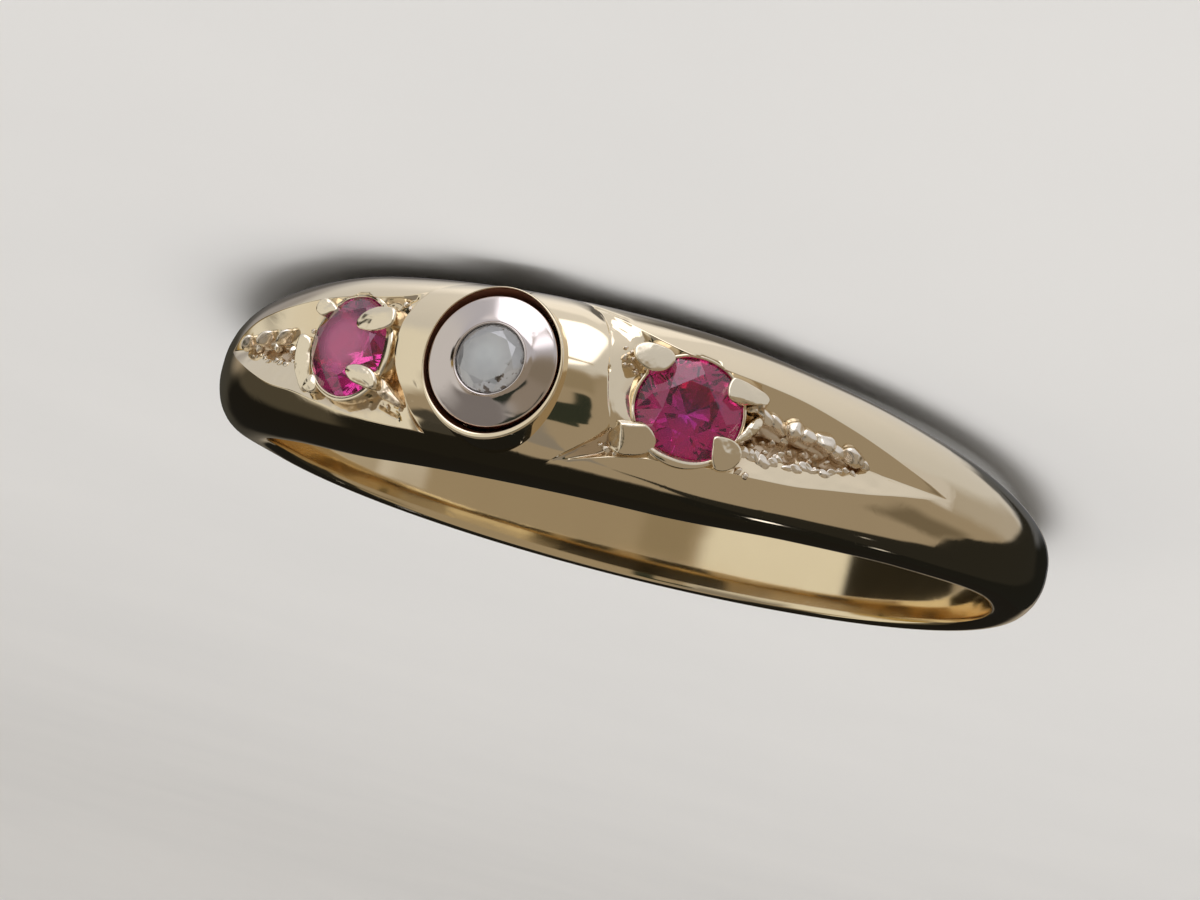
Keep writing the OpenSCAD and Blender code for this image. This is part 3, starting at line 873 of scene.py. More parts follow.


# ruby_clear: its darker, purple heart is painted shade for the dark middle of the stone
RUBY_1 = gem("ruby_clear", (.76, .020, .265), (.42, .035, .40), stone_spot(RUBY_A, GIRDLE + .25), (.0002, .00085), 1.765, .012, .05, 500)
RUBY_2 = gem("ruby_silky", (.73, .040, .30), (.77, .16, .38), stone_spot(RUBY_B, GIRDLE + .25), (.0003, .0009), 1.765, .06, .42, 500, bloom=True)
for nm, a0, rot, seed, table, low, skin in (("ruby_a", RUBY_A, 14, 21, .56, .42, RUBY_1), ("ruby_b", RUBY_B, 5, 22, .68, .55, RUBY_2)):
    q, f = brilliant(RUBY_R, table, .32, .05, .84, .42, low, rot, seed, .010)
    q[:, 2] -= (.07 if nm == "ruby_b" else .0) * q[:, 0]
    pp = place(a0, GIRDLE - .03)(q)
    f = orient(pp, f)
    mesh_object(nm + "_stone", pp, f, skin, smooth_faces=False, replaces=nm)

DIAMOND = gem("diamond", (.40, .38, .37), (.56, .59, .625), stone_spot(0, TUBE_TOP), (.0002, .0011), 2.417, .03, .80, 1500,
              fleck=((.10, .075, .06), tuple(turn(np.array([.72, 0.0, -.69])))))
q, f = brilliant(.70, .50, .17, .03, .34, .45, .5, 8, 23, .004)
pp = place(0, TUBE_TOP - .075)(q)
f = orient(pp, f)
mesh_object("diamond_stone", pp, f, DIAMOND, smooth_faces=False, replaces="diamond")


# ---------------------------------------------------------------------------
# Claws, seats and grains
# ---------------------------------------------------------------------------
def closed_curve(pts, count):
    """Catmull-Rom curve through a closed list of points, evenly stepped."""
    p = np.array(pts, float)
    n = len(p)
    out = []
    for i in range(n):
        p0, p1, p2, p3 = (p[(i + k) % n] for k in (-1, 0, 1, 2))
        for s in np.linspace(0, 1, 24, endpoint=False):
            out.append(.5 * (2 * p1 + (p2 - p0) * s + (2 * p0 - 5 * p1 + 4 * p2 - p3) * s * s + (3 * p1 - p0 - 3 * p2 + p3) * s**3))
    out = np.array(out)
    d = np.linalg.norm(np.diff(np.vstack([out, out[:1]]), axis=0), axis=1)
    cum = np.concatenate([[0], np.cumsum(d)])
    t = np.linspace(0, cum[-1], count, endpoint=False)
    oo = np.vstack([out, out[:1]])
    return np.stack([np.interp(t, cum, oo[:, k]) for k in range(oo.shape[1])], -1)


def claw(name, a0, outline, base, top, bevel=.06, crown=.02, tilt=(0, 0), planes=(), rough=.005, seed=1, count=72, spread=.12, grime_and_shade=.0):
    """A claw pressed over a stone: an outline (along the band, across it) in the frame at angle a0 that rises from distance
    base to distance top, with a rounded edge and a nearly flat top. planes are (normal, distance) cuts from its middle."""
    c = closed_curve(outline, count)
    mid = c.mean(0)
    size = np.linalg.norm(c - mid, axis=1).mean()
    b = min(bevel, size * .6)
    P = []

    def ring(k, h):
        P.append(np.column_stack([mid + (c - mid) * k, np.full(count, h)]))
    for u in (0, .3, .6, .8, .92):
        ring(1 + spread * (1 - u) ** 1.5, base + (top - b - base) * u)
    for k in range(9):
        ph = k / 8 * math.pi / 2
        ring(1 - b / size * (1 - math.cos(ph)), top - b + b * math.sin(ph))
    flat = 1 - b / size
    for k in (.9, .78, .64, .5, .36, .22, .1):
        ring(flat * k, top + crown * (1 - k * k))
    rows = len(P)
    allp = np.vstack([np.array(P).reshape(-1, 3), [[mid[0], mid[1], top + crown]], [[mid[0], mid[1], base]]])
    rel = allp - np.array([mid[0], mid[1], top])
    rel[:, 2] += (tilt[0] * rel[:, 0] + tilt[1] * rel[:, 1]) * smooth(-.35, -.08, rel[:, 2])
    for nv, dist in planes:
        nv = np.array(nv, float)
        nv /= np.linalg.norm(nv)
        rel = rel - smax0(rel @ nv - dist, .008)[:, None] * nv
    allp = rel + np.array([mid[0], mid[1], top])
    world = place(a0, 0)(allp)
    f1, f2 = waves(seed * 7 + 1, 18, .22, .6), waves(seed * 7 + 2, 18, .07, .16)
    ctr = place(a0, 0)(np.array([[mid[0], mid[1], top - .25]]))
    out = world - ctr
    out /= np.linalg.norm(out, axis=1)[:, None]
    world = world + out * (rough * f1(world) + rough * .3 * f2(world))[:, None]
    faces = grid_faces(rows, count, False, True).tolist()
    A, N = rows * count, rows * count + 1
    last = (rows - 1) * count
    faces += [(last + j, last + (j + 1) % count, A) for j in range(count)]
    faces += [((j + 1) % count, j, N) for j in range(count)]
    o = mesh_object(name, world, orient(world, faces), GOLD_CUT)
    at = o.data.attributes.new("grime_and_shade", "FLOAT", "POINT")
    # painted shade: the claw darkens towards its foot
    low = 1 - smooth(-.42, -.10, rel[:, 2])
    at.data.foreach_set("value", np.clip(grime_and_shade + .5 * low, 0, 1).astype(np.float32))
    return o


def ball(steps):
    bm = bmesh.new()
    bmesh.ops.create_icosphere(bm, subdivisions=steps, radius=1)
    v = np.array([tuple(q.co) for q in bm.verts])
    f = [tuple(q.index for q in t.verts) for t in bm.faces]
    bm.free()
    return v, f


BALL_V, BALL_F = ball(4)
BALL_S, BALL_SF = ball(3)


def nugget(name, a, z, rt, rz, rh, turn_deg=0.0, seed=1, cuts=5, rough=.10, lift=.35, fine=True, grime_and_shade=0.0, lean=(0, 0), under_shade=.35):
    """A grain raised and rounded with a graver: an uneven lump with a few pressed facets, sunk in the metal at a, z."""
    rng = np.random.RandomState(seed)
    v, f = (BALL_V, BALL_F) if fine else (BALL_S, BALL_SF)
    q = v.copy()
    for _ in range(cuts):
        n = rng.normal(size=3)
        n[2] = abs(n[2]) * .8 + .15
        n /= np.linalg.norm(n)
        q = q - smax0(q @ n - rng.uniform(.74, .92), .09)[:, None] * n
    n1, n2 = waves(seed * 5 + 3, 16, .9, 2.2), waves(seed * 5 + 4, 16, .35, .8)
    q = q * (1 + rough * n1(q) + rough * .25 * n2(q))[:, None]
    q = q * np.array([rt, rz, rh])
    q[:, 2] += lean[0] * q[:, 0] + lean[1] * q[:, 1]
    c, s = math.cos(math.radians(turn_deg)), math.sin(math.radians(turn_deg))
    q = np.column_stack([c * q[:, 0] - s * q[:, 1], s * q[:, 0] + c * q[:, 1] + z, q[:, 2]])
    base = surface_at(a, z) + rh * lift
    world = place(a, base)(q)
    o = mesh_object(name, world, orient(world, f), GOLD_GRAIN_LIT)
    # painted shade: each grain darkens towards its underside
    at = o.data.attributes.new("grime_and_shade", "FLOAT", "POINT")
    at.data.foreach_set("value", np.clip(grime_and_shade + under_shade * (1 - smooth(-.5, .2, q[:, 2] / rh)), 0, 1).astype(np.float32))
    return o


def surface_at(a, z):
    return float(surface(np.array([[float(a)]]), np.array([[float(z)]]), False)[0, 0])


def round_outline(t, z, rx, rz, turn_deg=0, n=10, seed=0, j=.04):
    rng = np.random.RandomState(seed)
    out = []
    c, s = math.cos(math.radians(turn_deg)), math.sin(math.radians(turn_deg))
    for i in range(n):
        th = 2 * math.pi * i / n
        k = 1 + rng.uniform(-j, j)
        x, y = rx * k * math.cos(th), rz * k * math.sin(th)
        out.append((t + c * x - s * y, z + s * x + c * y))
    return out


# ruby on the +X side of the ring frame (the node ruby_a)
claw("claw_a_upper_in", RUBY_A, [(-1.30, .74), (-1.14, .60), (-.92, .53), (-.70, .58), (-.56, .72), (-.51, .90), (-.62, 1.04), (-.86, 1.10), (-1.14, 1.09), (-1.34, .94)],
     9.75, 10.66, bevel=.05, crown=.012, tilt=(.03, -.16), rough=.004, seed=31)
claw("claw_a_lower_in", RUBY_A, [(-1.43, -.80), (-1.36, -.63), (-1.22, -.53), (-1.02, -.50), (-.80, -.50), (-.60, -.60), (-.49, -.76), (-.50, -.94), (-.64, -1.06), (-.90, -1.16), (-1.18, -1.18), (-1.38, -1.04)],
     9.70, 10.66, bevel=.07, crown=.02, tilt=(0, .10), planes=[((-.75, -.22, .62), .17), ((.30, -.52, .80), .075), ((-.12, .62, .78), .17)], rough=.005, seed=32, grime_and_shade=.08)
claw("claw_a_upper_out", RUBY_A, [(.62, .60), (.66, .80), (.74, .84), (1.02, .80), (1.30, .72), (1.47, .64), (1.45, .50), (1.18, .39), (.86, .32), (.68, .40)],
     9.70, 10.68, bevel=.04, crown=.01, tilt=(-.10, -.20), planes=[((.50, .22, .84), .12), ((.05, -.80, .60), .15)], rough=.006, seed=33)
claw("claw_a_lower_out", RUBY_A, [(.58, -.42), (.70, -.36), (.90, -.35), (1.08, -.40), (1.20, -.54), (1.20, -.72), (1.10, -.90), (.94, -1.00), (.76, -1.01), (.65, -.86), (.60, -.62)],
     9.65, 10.60, bevel=.05, crown=.012, tilt=(-.12, .02), planes=[((.55, -.35, .76), .22)], rough=.006, seed=34)
# the curled sliver between the stone and the grains
claw("burr_a", RUBY_A, [(1.36, .24), (1.22, .08), (1.14, -.10), (1.04, -.30), (1.06, -.38), (1.20, -.30), (1.34, -.14), (1.44, .02), (1.46, .18)],
     9.9, 10.52, bevel=.05, crown=.02, tilt=(-.2, -.15), rough=.02, seed=35, grime_and_shade=0)
# ruby on the other side (ruby_b)
claw("claw_b_upper_in", RUBY_B, [(.20, .46), (.24, .58), (.36, .70), (.60, .81), (.86, .84), (1.06, .82), (1.14, .66), (1.12, .46), (.90, .34), (.66, .28), (.36, .30), (.24, .36)],
     9.75, 10.70, bevel=.06, crown=.03, tilt=(-.06, -.06), planes=[((.1, -.85, .52), .25)], rough=.005, seed=41)
claw("claw_b_lower_in", RUBY_B, [(.27, -.62), (.28, -.50), (.42, -.43), (.62, -.42), (.86, -.48), (1.02, -.60), (1.10, -.76), (1.02, -.90), (.74, -.86), (.44, -.78)],
     9.70, 10.70, bevel=.08, crown=.04, tilt=(-.16, .03), planes=[((.62, .05, .78), .26)], rough=.006, seed=42)
claw("claw_b_tail", RUBY_B, [(.98, -.62), (1.14, -.64), (1.36, -.84), (1.58, -1.02), (1.54, -1.12), (1.24, -1.04), (.98, -.88)],
     9.70, 10.42, bevel=.08, crown=.03, tilt=(-.25, .05), rough=.02, seed=46, grime_and_shade=.45)
claw("claw_b_upper_out", RUBY_B, [(-1.10, .66), (-1.10, .84), (-.98, .95), (-.78, .88), (-.58, .71), (-.72, .66), (-.90, .55)], 9.8, 10.56, bevel=.05, crown=.01, tilt=(-.24, -.10), rough=.006, seed=43)
claw("claw_b_lower_out", RUBY_B, [(-1.02, -.98), (-.98, -.74), (-.86, -.66), (-.74, -.76), (-.68, -.94), (-.80, -1.06)], 9.8, 10.46, bevel=.06, tilt=(-.22, .0), rough=.006, seed=44)
# the collar left standing beside it
claw("collar_b", RUBY_B, [(-1.52, .16), (-1.26, .10), (-1.17, -.20), (-1.10, -.50), (-1.02, -.80), (-1.02, -.97), (-1.20, -1.00), (-1.44, -.62), (-1.54, -.20)],
     9.8, 10.38, bevel=.07, crown=.02, tilt=(-.27, .02), rough=.006, seed=45)


def seat_ring(name, a0, seed, lip, bevel, wide):
    """The edge of the drilled seat, pushed up and over the edge of the stone. lip(th) is how far it covers the stone,
    bevel(th) the width of its bright inner bevel and wide(th) makes it wider in places."""
    count = 200
    th = np.linspace(0, 2 * math.pi, count, endpoint=False)
    rng = np.random.RandomState(seed)
    wob = sum(rng.uniform(-1, 1) * np.cos(f * th + rng.uniform(0, 6.28)) / f for f in range(3, 16))
    ri = RUBY_R + .004 - lip(th) + .004 * wob
    crown = GIRDLE + .022 + np.clip(RUBY_R - ri, 0, 1) * .72
    rc = ri + bevel(th) + .003 * wob
    ro = np.maximum(RUBY_R + .068, rc + .03) + wide(th) + .008 * wob
    hs = height_at((ro + .03) * np.cos(th), (ro + .03) * np.sin(th), a0)
    kern = np.hanning(13) / np.hanning(13).sum()
    hs = np.convolve(np.concatenate([hs[-6:], hs, hs[:6]]), kern, "valid")
    crest = np.clip(np.maximum(hs + .012, crown + .02 + .80 * bevel(th)), None, GIRDLE + .42) + .006 * wob
    rows = []

    def row(r, h):
        rows.append(np.stack([(r + 0 * th) * np.cos(th), (r + 0 * th) * np.sin(th), h + 0 * th], -1))
    row(RUBY_R + .010, 9.75)
    row(RUBY_R + .010, GIRDLE + .02)
    row(ri + .004, crown + .004)
    row(ri, crown + .014)
    row(ri + .15 * (rc - ri), crown + .014 + .18 * (crest - crown - .014))
    row(ri + .6 * (rc - ri), crown + .014 + .66 * (crest - crown - .014))
    row(rc - .002, crest - .003)
    row(rc + .006, crest + .001)
    row(rc + .5 * (ro - rc), crest - .002)
    row(ro - .008, np.minimum(crest - .006, crest))
    row(ro, crest - .024)
    row(ro + .012, 9.75)
    g = np.stack(rows, 1)
    k = g.shape[1]
    g = g.reshape(-1, 3)
    pp = place(a0, 0)(g)
    o = mesh_object(name, pp, orient_quads(pp, grid_faces(count, k, True, True)).tolist(), GOLD_CUT)
    # grime and painted shade: darker below the crest, under the stone and round the foot
    at = o.data.attributes.new("grime_and_shade", "FLOAT", "POINT")
    at.data.foreach_set("value", (.5 * (g[:, 2] < np.repeat(crest, k) - .12)).astype(np.float32))


def bump_at(deg, spread):
    return lambda th: np.exp(-((((th - math.radians(deg) + math.pi) % (2 * math.pi)) - math.pi) / math.radians(spread)) ** 2)


low_a, low_b, inner_b = bump_at(-96, 40), bump_at(-60, 60), bump_at(5, 46)
seat_ring("seat_a", RUBY_A, 51, lambda th: .012 + .125 * low_a(th), lambda th: .020 + .075 * low_a(th), lambda th: .03 * low_a(th))
seat_ring("seat_b", RUBY_B, 52, lambda th: .020 + .13 * inner_b(th), lambda th: .016 + .02 * inner_b(th), lambda th: .04 * low_b(th))

# grains: angle, z, half sizes along, across and out, turn
GRAINS = [(29.6, .34, .27, .15, .16, -22), (31.3, .27, .27, .16, .17, -30), (33.5, .25, .20, .22, .22, 10), (32.8, .04, .13, .11, .14, 0), (35.3, .22, .24, .17, .16, -20), (37.4, .22, .27, .19, .22, -25),
          (39.3, .12, .18, .14, .15, -30), (41.3, .13, .28, .19, .21, -15), (28.1, .40, .15, .13, .14, 0), (43.2, .06, .15, .11, .12, -20),
          (-30.4, .03, .32, .14, .14, 6), (-33.9, .21, .26, .11, .21, 38), (-38.4, .20, .25, .11, .21, 36), (-43.0, .13, .20, .11, .17, 56), (-36.3, .05, .13, .09, .11, 60),
          (-40.8, .03, .12, .08, .10, 60), (-33.2, -.02, .11, .08, .10, 70)]
for i, (a, z, rt, rz, rh, tn) in enumerate(GRAINS):
    nugget(f"grain_{i:02d}", a, z, rt, rz, rh, tn, 60 + i, cuts=4, rough=.055, lift=.42, under_shade=.25)

# smears of metal between them: angle, z, half sizes, turn
SMEARS = [(30.6, .12, .40, .14, .10, -14), (34.4, .10, .30, .12, .09, -12), (36.6, .06, .30, .11, .09, -20), (39.9, .03, .26, .09, .09, -18), (-36.0, .13, .5, .08, .07, 4), (-41.0, .10, .4, .07, .07, 6)]
for i, (a, z, rt, rz, rh, tn) in enumerate(SMEARS):
    nugget(f"smear_{i:02d}", a, z, rt, rz, rh, tn, 80 + i, cuts=3, rough=.10, lift=.15, grime_and_shade=.30)

# the melted looking edge of the lower wall, pushed up towards the grains
i = 0
for side, shelf, g0, g1, gap in ((1, SHELF_A, 28.2, 43.0, .95), (-1, SHELF_B, 28.6, 41.5, 1.35)):
    rng = np.random.RandomState(17 + side)
    g = g0
    while g < g1:
        z = float(shelf(np.array([g]))[0]) - .035 + rng.uniform(-.045, .035)
        big = (1 - .45 * (g - g0) / (g1 - g0)) * rng.uniform(.8, 1.25) * (1 if side > 0 else .6)
        nugget(f"edge_{i:02d}", side * g, z, .165 * big, .085 * big * rng.uniform(.8, 1.5), .065 * big, side * -12 + rng.uniform(-34, 34), 140 + i, cuts=1,
               rough=.16, lift=.12, under_shade=.0)
        g += gap * rng.uniform(.7, 1.3)
        i += 1

# crumbs of metal thrown up by the graver: angle, z, size
CRUMBS = [(28.0, -.88, .09), (28.9, -.94, .08), (27.3, -.80, .07), (13.6, -1.12, .09), (14.6, -1.16, .07), (12.8, -1.06, .06), (13.9, -.98, .06), (40.0, -.20, .06), (37.2, -.06, .07),
          (35.6, -.10, .06), (31.6, -.08, .08), (29.6, .06, .09), (30.4, -.14, .07), (28.8, .12, .08), (33.9, -.16, .07), (38.6, -.12, .06), (32.8, -.26, .07), (36.4, -.20, .06), (29.2, -.26, .07), (30.9, -.32, .06),
          (13.2, .70, .07), (13.7, .84, .06), (13.0, .90, .05), (14.1, .58, .06), (13.3, .56, .05), (14.6, .50, .06), (14.0, .72, .05), (15.4, .47, .05), (14.5, .98, .05), (15.2, 1.06, .05),
          (28.6, .62, .06), (29.4, .56, .05), (28.9, .50, .06), (28.1, .70, .05),
          (-13.4, .98, .08), (-12.4, .88, .06), (-12.8, -.92, .06), (-12.0, -1.06, .06), (-11.2, -1.14, .05), (-13.4, -1.10, .05), (-29.0, -.30, .06), (-30.8, -.20, .05),
          (-27.6, -.10, .06), (-28.4, .34, .06)]
for i, (a, z, r) in enumerate(CRUMBS):
    rr = np.random.RandomState(300 + i)
    nugget(f"crumb_{i:02d}", a, z, r * rr.uniform(.9, 1.3), r * rr.uniform(.7, 1.1), r * rr.uniform(.8, 1.2), rr.uniform(0, 180), 90 + i, cuts=4, rough=.12, lift=.35, fine=False, grime_and_shade=.10)


# ---------------------------------------------------------------------------
# Camera
# ---------------------------------------------------------------------------
def camera():
    A, e = math.radians(17.909), math.radians(9.252)
    y, p, r = math.radians(-.942), math.radians(.5275), math.radians(14.252)
    d = np.array([math.sin(A) * math.cos(e), -math.cos(A) * math.cos(e), -math.sin(e)])
    fwd = -d
    right = np.cross(fwd, [0, 0, 1.0])
    right /= np.linalg.norm(right)
    up = np.cross(right, fwd)
    f2, r2 = math.cos(y) * fwd + math.sin(y) * right, math.cos(y) * right - math.sin(y) * fwd
    f3, u3 = math.cos(p) * f2 + math.sin(p) * up, math.cos(p) * up - math.sin(p) * f2
    r4, u4 = math.cos(r) * r2 + math.sin(r) * u3, math.cos(r) * u3 - math.sin(r) * r2
    loc = to_row(65.0 * d)
    R, U, B = turn(r4), turn(u4), turn(-f3)
    cam = bpy.data.cameras.new("camera")
    cam.sensor_width = 36
    cam.lens = 2795.913 * 36 / 1200
    cam.clip_start, cam.clip_end = .001, 10
    o = bpy.data.objects.new("camera", cam)
    bpy.context.scene.collection.objects.link(o)
    m = Matrix.Identity(4)
    for i in range(3):
        m[i][0], m[i][1], m[i][2], m[i][3] = R[i], U[i], B[i], loc[i]
    o.matrix_world = m
    bpy.context.scene.camera = o


camera()

# ---------------------------------------------------------------------------
# Stage: a seamless pale floor that curves up far away, and soft light
# ---------------------------------------------------------------------------
def stage_floor():
    prof = [(0, 0), (.01, 0), (.02, 0), (.04, 0), (.08, 0), (.14, 0), (.18, 0)]
    for k in range(1, 25):
        t = k / 24 * math.radians(62)
        prof.append((.18 + .50 * math.sin(t), .50 * (1 - math.cos(t))))
    pts, faces, n = [(0, 0, 0)], [], 96
    prof = prof[1:]
    for r, h in prof:
        for i in range(n):
            t = 2 * math.pi * i / n
            pts.append((r * math.cos(t), r * math.sin(t), h))
    for i in range(n):
        faces.append((0, 1 + i, 1 + (i + 1) % n))
    for k in range(len(prof) - 1):
        for i in range(n):
            a, b = 1 + k * n + i, 1 + k * n + (i + 1) % n
            faces.append((a, a + n, b + n, b))
    me = bpy.data.meshes.new("floor")
    me.from_pydata(pts, [], faces)
    me.polygons.foreach_set("use_smooth", [True] * len(me.polygons))
    m, nt, b = new_material("floor")
    tc = node(nt, "ShaderNodeTexCoord")
    n1 = node(nt, "ShaderNodeTexNoise", in_Scale=60.0, in_Detail=3.0)
    nt.links.new(tc.outputs["Object"], n1.inputs["Vector"])
    ramp = node(nt, "ShaderNodeValToRGB")
    ramp.color_ramp.elements[0].color = (.70, .70, .70, 1)
    ramp.color_ramp.elements[1].color = (.76, .755, .75, 1)
    nt.links.new(n1.outputs["Fac"], ramp.inputs["Fac"])
    nt.links.new(ramp.outputs["Color"], b.inputs["Base Color"])
    b.inputs["Roughness"].default_value = .9
    me.materials.append(m)
    o = bpy.data.objects.new("floor", me)
    bpy.context.scene.collection.objects.link(o)
    o.visible_glossy = False
    o.visible_transmission = False


stage_floor()


def world():
    w = bpy.data.worlds.new("studio")
    bpy.context.scene.world = w
    w.use_nodes = True
    nt = w.node_tree
    L = nt.links.new
    bg = nt.nodes["Background"]
    tc = node(nt, "ShaderNodeTexCoord")
    sx = node(nt, "ShaderNodeSeparateXYZ")
    L(tc.outputs["Generated"], sx.inputs[0])
    neg = node(nt, "ShaderNodeMath", operation="MULTIPLY")
    L(sx.outputs["Y"], neg.inputs[0])
    neg.inputs[1].default_value = -1
    az0 = node(nt, "ShaderNodeMath", operation="ARCTAN2")
    L(sx.outputs["X"], az0.inputs[0])
    L(neg.outputs[0], az0.inputs[1])
    el0 = node(nt, "ShaderNodeMath", operation="ARCSINE")
    L(sx.outputs["Z"], el0.inputs[0])
    # the edges of the panels are never quite straight
    drift = node(nt, "ShaderNodeTexNoise", in_Scale=2.2, in_Detail=2.0, in_Roughness=.5)
    L(tc.outputs["Generated"], drift.inputs["Vector"])
    off = node(nt, "ShaderNodeMapRange")
    off.inputs["From Min"].default_value, off.inputs["From Max"].default_value = .25, .75
    off.inputs["To Min"].default_value, off.inputs["To Max"].default_value = -.06, .06
    L(drift.outputs["Fac"], off.inputs["Value"])
    az = node(nt, "ShaderNodeMath", operation="ADD")
    L(az0.outputs[0], az.inputs[0])
    L(off.outputs["Result"], az.inputs[1])
    el = node(nt, "ShaderNodeMath", operation="ADD")
    L(el0.outputs[0], el.inputs[0])
    L(off.outputs["Result"], el.inputs[1])

    def step(src, at, soft, up):
        r = node(nt, "ShaderNodeMapRange", interpolation_type="SMOOTHSTEP")
        r.inputs["From Min"].default_value = math.radians(at - soft)
        r.inputs["From Max"].default_value = math.radians(at + soft)
        r.inputs["To Min"].default_value = 0 if up else 1
        r.inputs["To Max"].default_value = 1 if up else 0
        L(src.outputs[0], r.inputs["Value"])
        return r.outputs["Result"]

    def mul(a, b):
        m = node(nt, "ShaderNodeMath", operation="MULTIPLY")
        L(a, m.inputs[0])
        L(b, m.inputs[1])
        return m.outputs[0]

    def box(a0, a1, e0, e1, soft):
        out = mul(step(el, e0, soft, True), step(el, e1, soft, False))
        if a0 is not None:
            out = mul(out, mul(step(az, a0, soft, True), step(az, a1, soft, False)))
        return out

    def slant(k):
        n = node(nt, "ShaderNodeMath", operation="MULTIPLY_ADD")
        L(az.outputs[0], n.inputs[0])
        n.inputs[1].default_value = k
        L(el.outputs[0], n.inputs[2])
        return n

    state = {"c": None}

    def layer(mask, color):
        m = node(nt, "ShaderNodeMix", data_type="RGBA")
        if state["c"] is None:
            m.inputs["A"].default_value = (0, 0, 0, 1)
        else:
            L(state["c"], m.inputs["A"])
        m.inputs["B"].default_value = (*color, 1)
        L(mask, m.inputs["Factor"])
        state["c"] = m.outputs["Result"]

    # pale below, paler straight down and behind
    layer(box(None, None, -120, 120, .5), (.78, .78, .81))
    layer(step(el, -52, 26, True), (.62, .625, .65))
    layer(box(118, 181, -86, -48, 12), (1.0, 1.0, 1.04))
    # a warm mid tone in front, at the sides and above
    layer(step(el, -17, 3, True), (.338, .288, .222))
    layer(box(-16, 3, -14.5, -3, 2.5), (.28, .235, .17))
    # the pale part reaches higher on the right
    layer(box(-150, -112, -24, -9, 5), (.43, .40, .36))
    layer(box(-113, -90, -25, -8, 2.5), (.60, .59, .60))
    # bright panel to the left
    layer(mul(mul(step(el, -24, 6, True), step(el, 27, 8, False)), mul(step(az, 8, 4, True), step(az, 106, 4, False))), (.76, .75, .71))
    # a dark strip on it, with a gold coloured strip above
    layer(mul(mul(step(el, -13.5, 1.5, True), step(el, -3.5, 1, False)), mul(step(az, 60, 2, True), step(az, 116, 4, False))), (.022, .019, .013))
    layer(box(73, 92, -25, -12, 2), (.03, .027, .02))
    layer(mul(mul(step(el, -3.5, 1, True), step(el, 4, 2, False)), mul(step(az, 66, 2, True), step(az, 104, 3, False))), (.36, .25, .075))
    layer(mul(step(el, 9, 5, True), mul(step(az, 9, 3, True), step(az, 44, 4, False))), (.25, .232, .215))
    layer(box(78, 104, 19, 52, 3), (.74, .71, .64))
    layer(box(56, 140, 51, 70, 3), (.05, .047, .04))
    layer(box(56, 78, 44, 60, 3), (.06, .056, .048))
    # dark behind the ring
    layer(box(118, 156, -36, -14, 6), (.33, .32, .33))
    layer(box(134, 157, -31, -11, 4), (.13, .125, .125))
    layer(box(157, 176, -62, -18, 5), (.14, .135, .135))
    layer(box(103, 150, -4, 70, 4), (.07, .062, .046))
    layer(box(128, 156, -17, 0, 4), (.05, .047, .038))
    layer(box(-190, -153, -38, -8, 3), (.10, .105, .115))
    layer(box(175, 190, -38, -8, 3), (.10, .105, .115))
    layer(box(122, 184, -2, 70, 3), (.012, .011, .009))
    layer(box(104, 184, 38, 70, 3), (.014, .013, .010))
    layer(box(-122, -96, 7, 24, 5), (.17, .14, .10))
    layer(box(-186, -150, -17, 70, 2), (.012, .012, .010))
    layer(mul(mul(step(slant(-.98), 128.4, 2, True), step(slant(2.6), -303, 5, False)), mul(step(az, -164, 2, True), step(az, -113, 3, False))), (.022, .021, .017))
    # a dark panel in front, which shows small in the boss
    layer(box(-13.8, -5.5, 1, 34, .8), (.028, .034, .026))
    layer(box(-7, 9, 13.5, 41, .8), (.030, .036, .027))

    # the main light: a rounded pane low in front
    def dot(vec):
        n = node(nt, "ShaderNodeVectorMath", operation="DOT_PRODUCT")
        L(tc.outputs["Generated"], n.inputs[0])
        n.inputs[1].default_value = vec
        return n.outputs["Value"]

    def math_node(op, a, b=None):
        n = node(nt, "ShaderNodeMath", operation=op)
        for i, v in enumerate((a, b)):
            if v is None:
                continue
            if isinstance(v, (int, float)):
                n.inputs[i].default_value = v
            else:
                L(v, n.inputs[i])
        return n.outputs[0]

    def pane(az_c, el_c, half_u, half_v, tilt, power, soft, color, ahead=.05):
        a_, e_ = math.radians(az_c), math.radians(el_c)
        c = Vector((math.sin(a_) * math.cos(e_), -math.cos(a_) * math.cos(e_), math.sin(e_)))
        u = Vector((math.cos(a_), math.sin(a_), 0))
        v = c.cross(u)
        u, v = u * math.cos(tilt) + v * math.sin(tilt), v * math.cos(tilt) - u * math.sin(tilt)
        dc = math_node("MAXIMUM", dot(c), ahead)
        pu = math_node("POWER", math_node("ABSOLUTE", math_node("DIVIDE", math_node("DIVIDE", dot(u), dc), half_u)), power)
        pv = math_node("POWER", math_node("ABSOLUTE", math_node("DIVIDE", math_node("DIVIDE", dot(v), dc), half_v)), power)
        q = math_node("ADD", pu, pv)
        r = node(nt, "ShaderNodeMapRange", interpolation_type="SMOOTHSTEP")
        r.inputs["From Min"].default_value = 1 - soft
        r.inputs["From Max"].default_value = 1 + soft
        r.inputs["To Min"].default_value = 1
        r.inputs["To Max"].default_value = 0
        L(q, r.inputs["Value"])
        layer(r.outputs["Result"], color)

    pane(33, -45, .20, .22, 0, 2.2, .8, (.94, .92, .93))
    pane(12, -36, .24, .36, 0, 2.4, .55, (1.22, 1.20, 1.20))
    pane(8.5, -48, .345, .60, 0, 3.0, .25, (1.85, 1.85, 1.98))
    layer(box(-12, 3, -25.3, -24.2, .5), (.42, .37, .30))
    L(state["c"], bg.inputs["Color"])
    bg.inputs["Strength"].default_value = 1.0


world()


def area(name, loc, target, size, watts, color=(1, 1, 1), glossy=False):
    l = bpy.data.lights.new(name, "AREA")
    l.shape = "DISK"
    l.size = size
    l.energy = watts
    l.color = color
    o = bpy.data.objects.new(name, l)
    bpy.context.scene.collection.objects.link(o)
    o.location = loc
    d = Vector(target) - Vector(loc)
    o.rotation_mode = "QUATERNION"
    o.rotation_quaternion = d.to_track_quat("-Z", "Y")
    o.visible_glossy = glossy
    o.visible_transmission = glossy
    return o


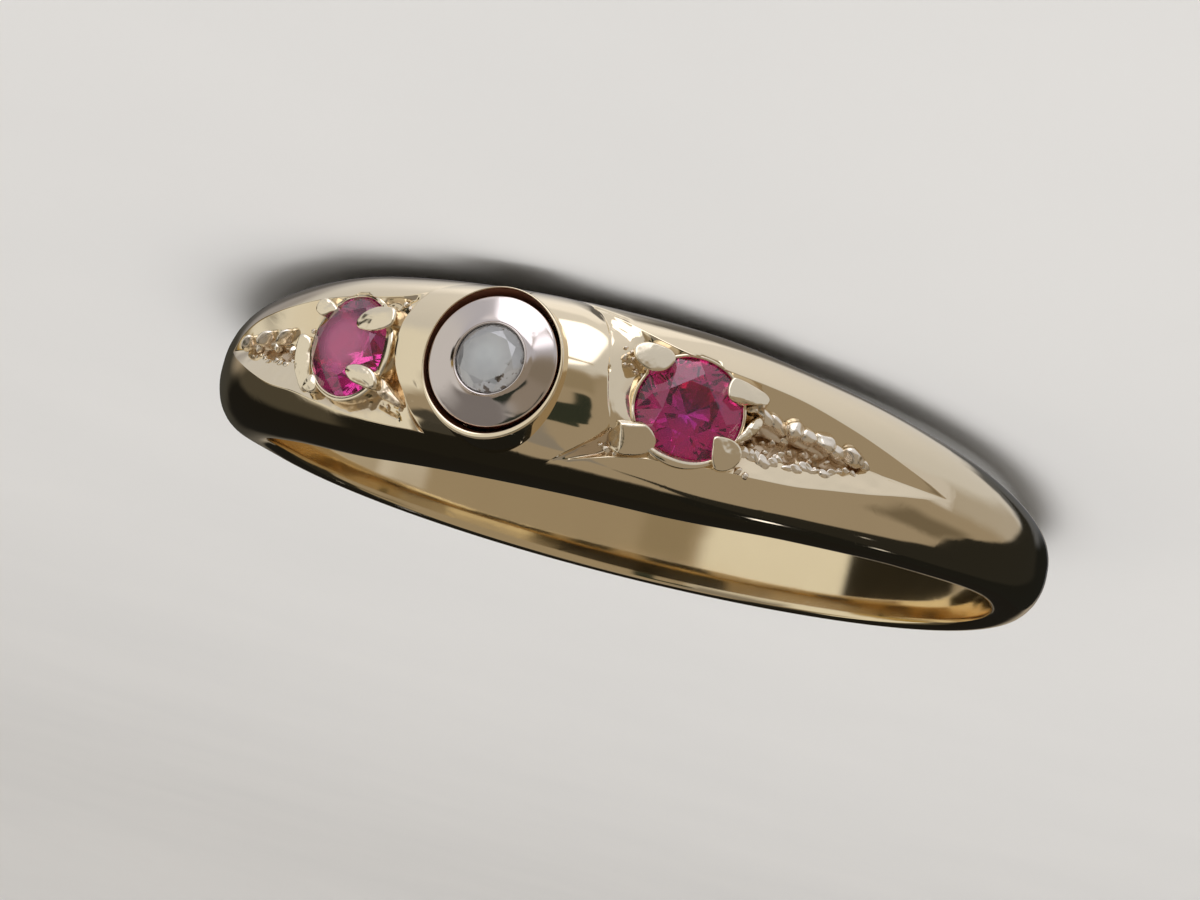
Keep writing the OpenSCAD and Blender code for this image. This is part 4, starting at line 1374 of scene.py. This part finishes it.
area("soft_above", (-.05, -.06, .22), (0, 0, 0), .16, .20)
sun = bpy.data.lights.new("soft_sun", "SUN")
sun.energy = 1.5
sun.angle = 1.4
so = bpy.data.objects.new("soft_sun", sun)
bpy.context.scene.collection.objects.link(so)
so.rotation_euler = (math.radians(18), math.radians(-14), 0)
so.visible_glossy = False
so.visible_transmission = False

sc = bpy.context.scene
sc.view_settings.view_transform = "Standard"
sc.view_settings.look = "None"
sc.view_settings.exposure = 0
sc.cycles.max_bounces = 16
sc.cycles.transmission_bounces = 14
sc.cycles.glossy_bounces = 8
sc.cycles.caustics_reflective = False
sc.cycles.caustics_refractive = False
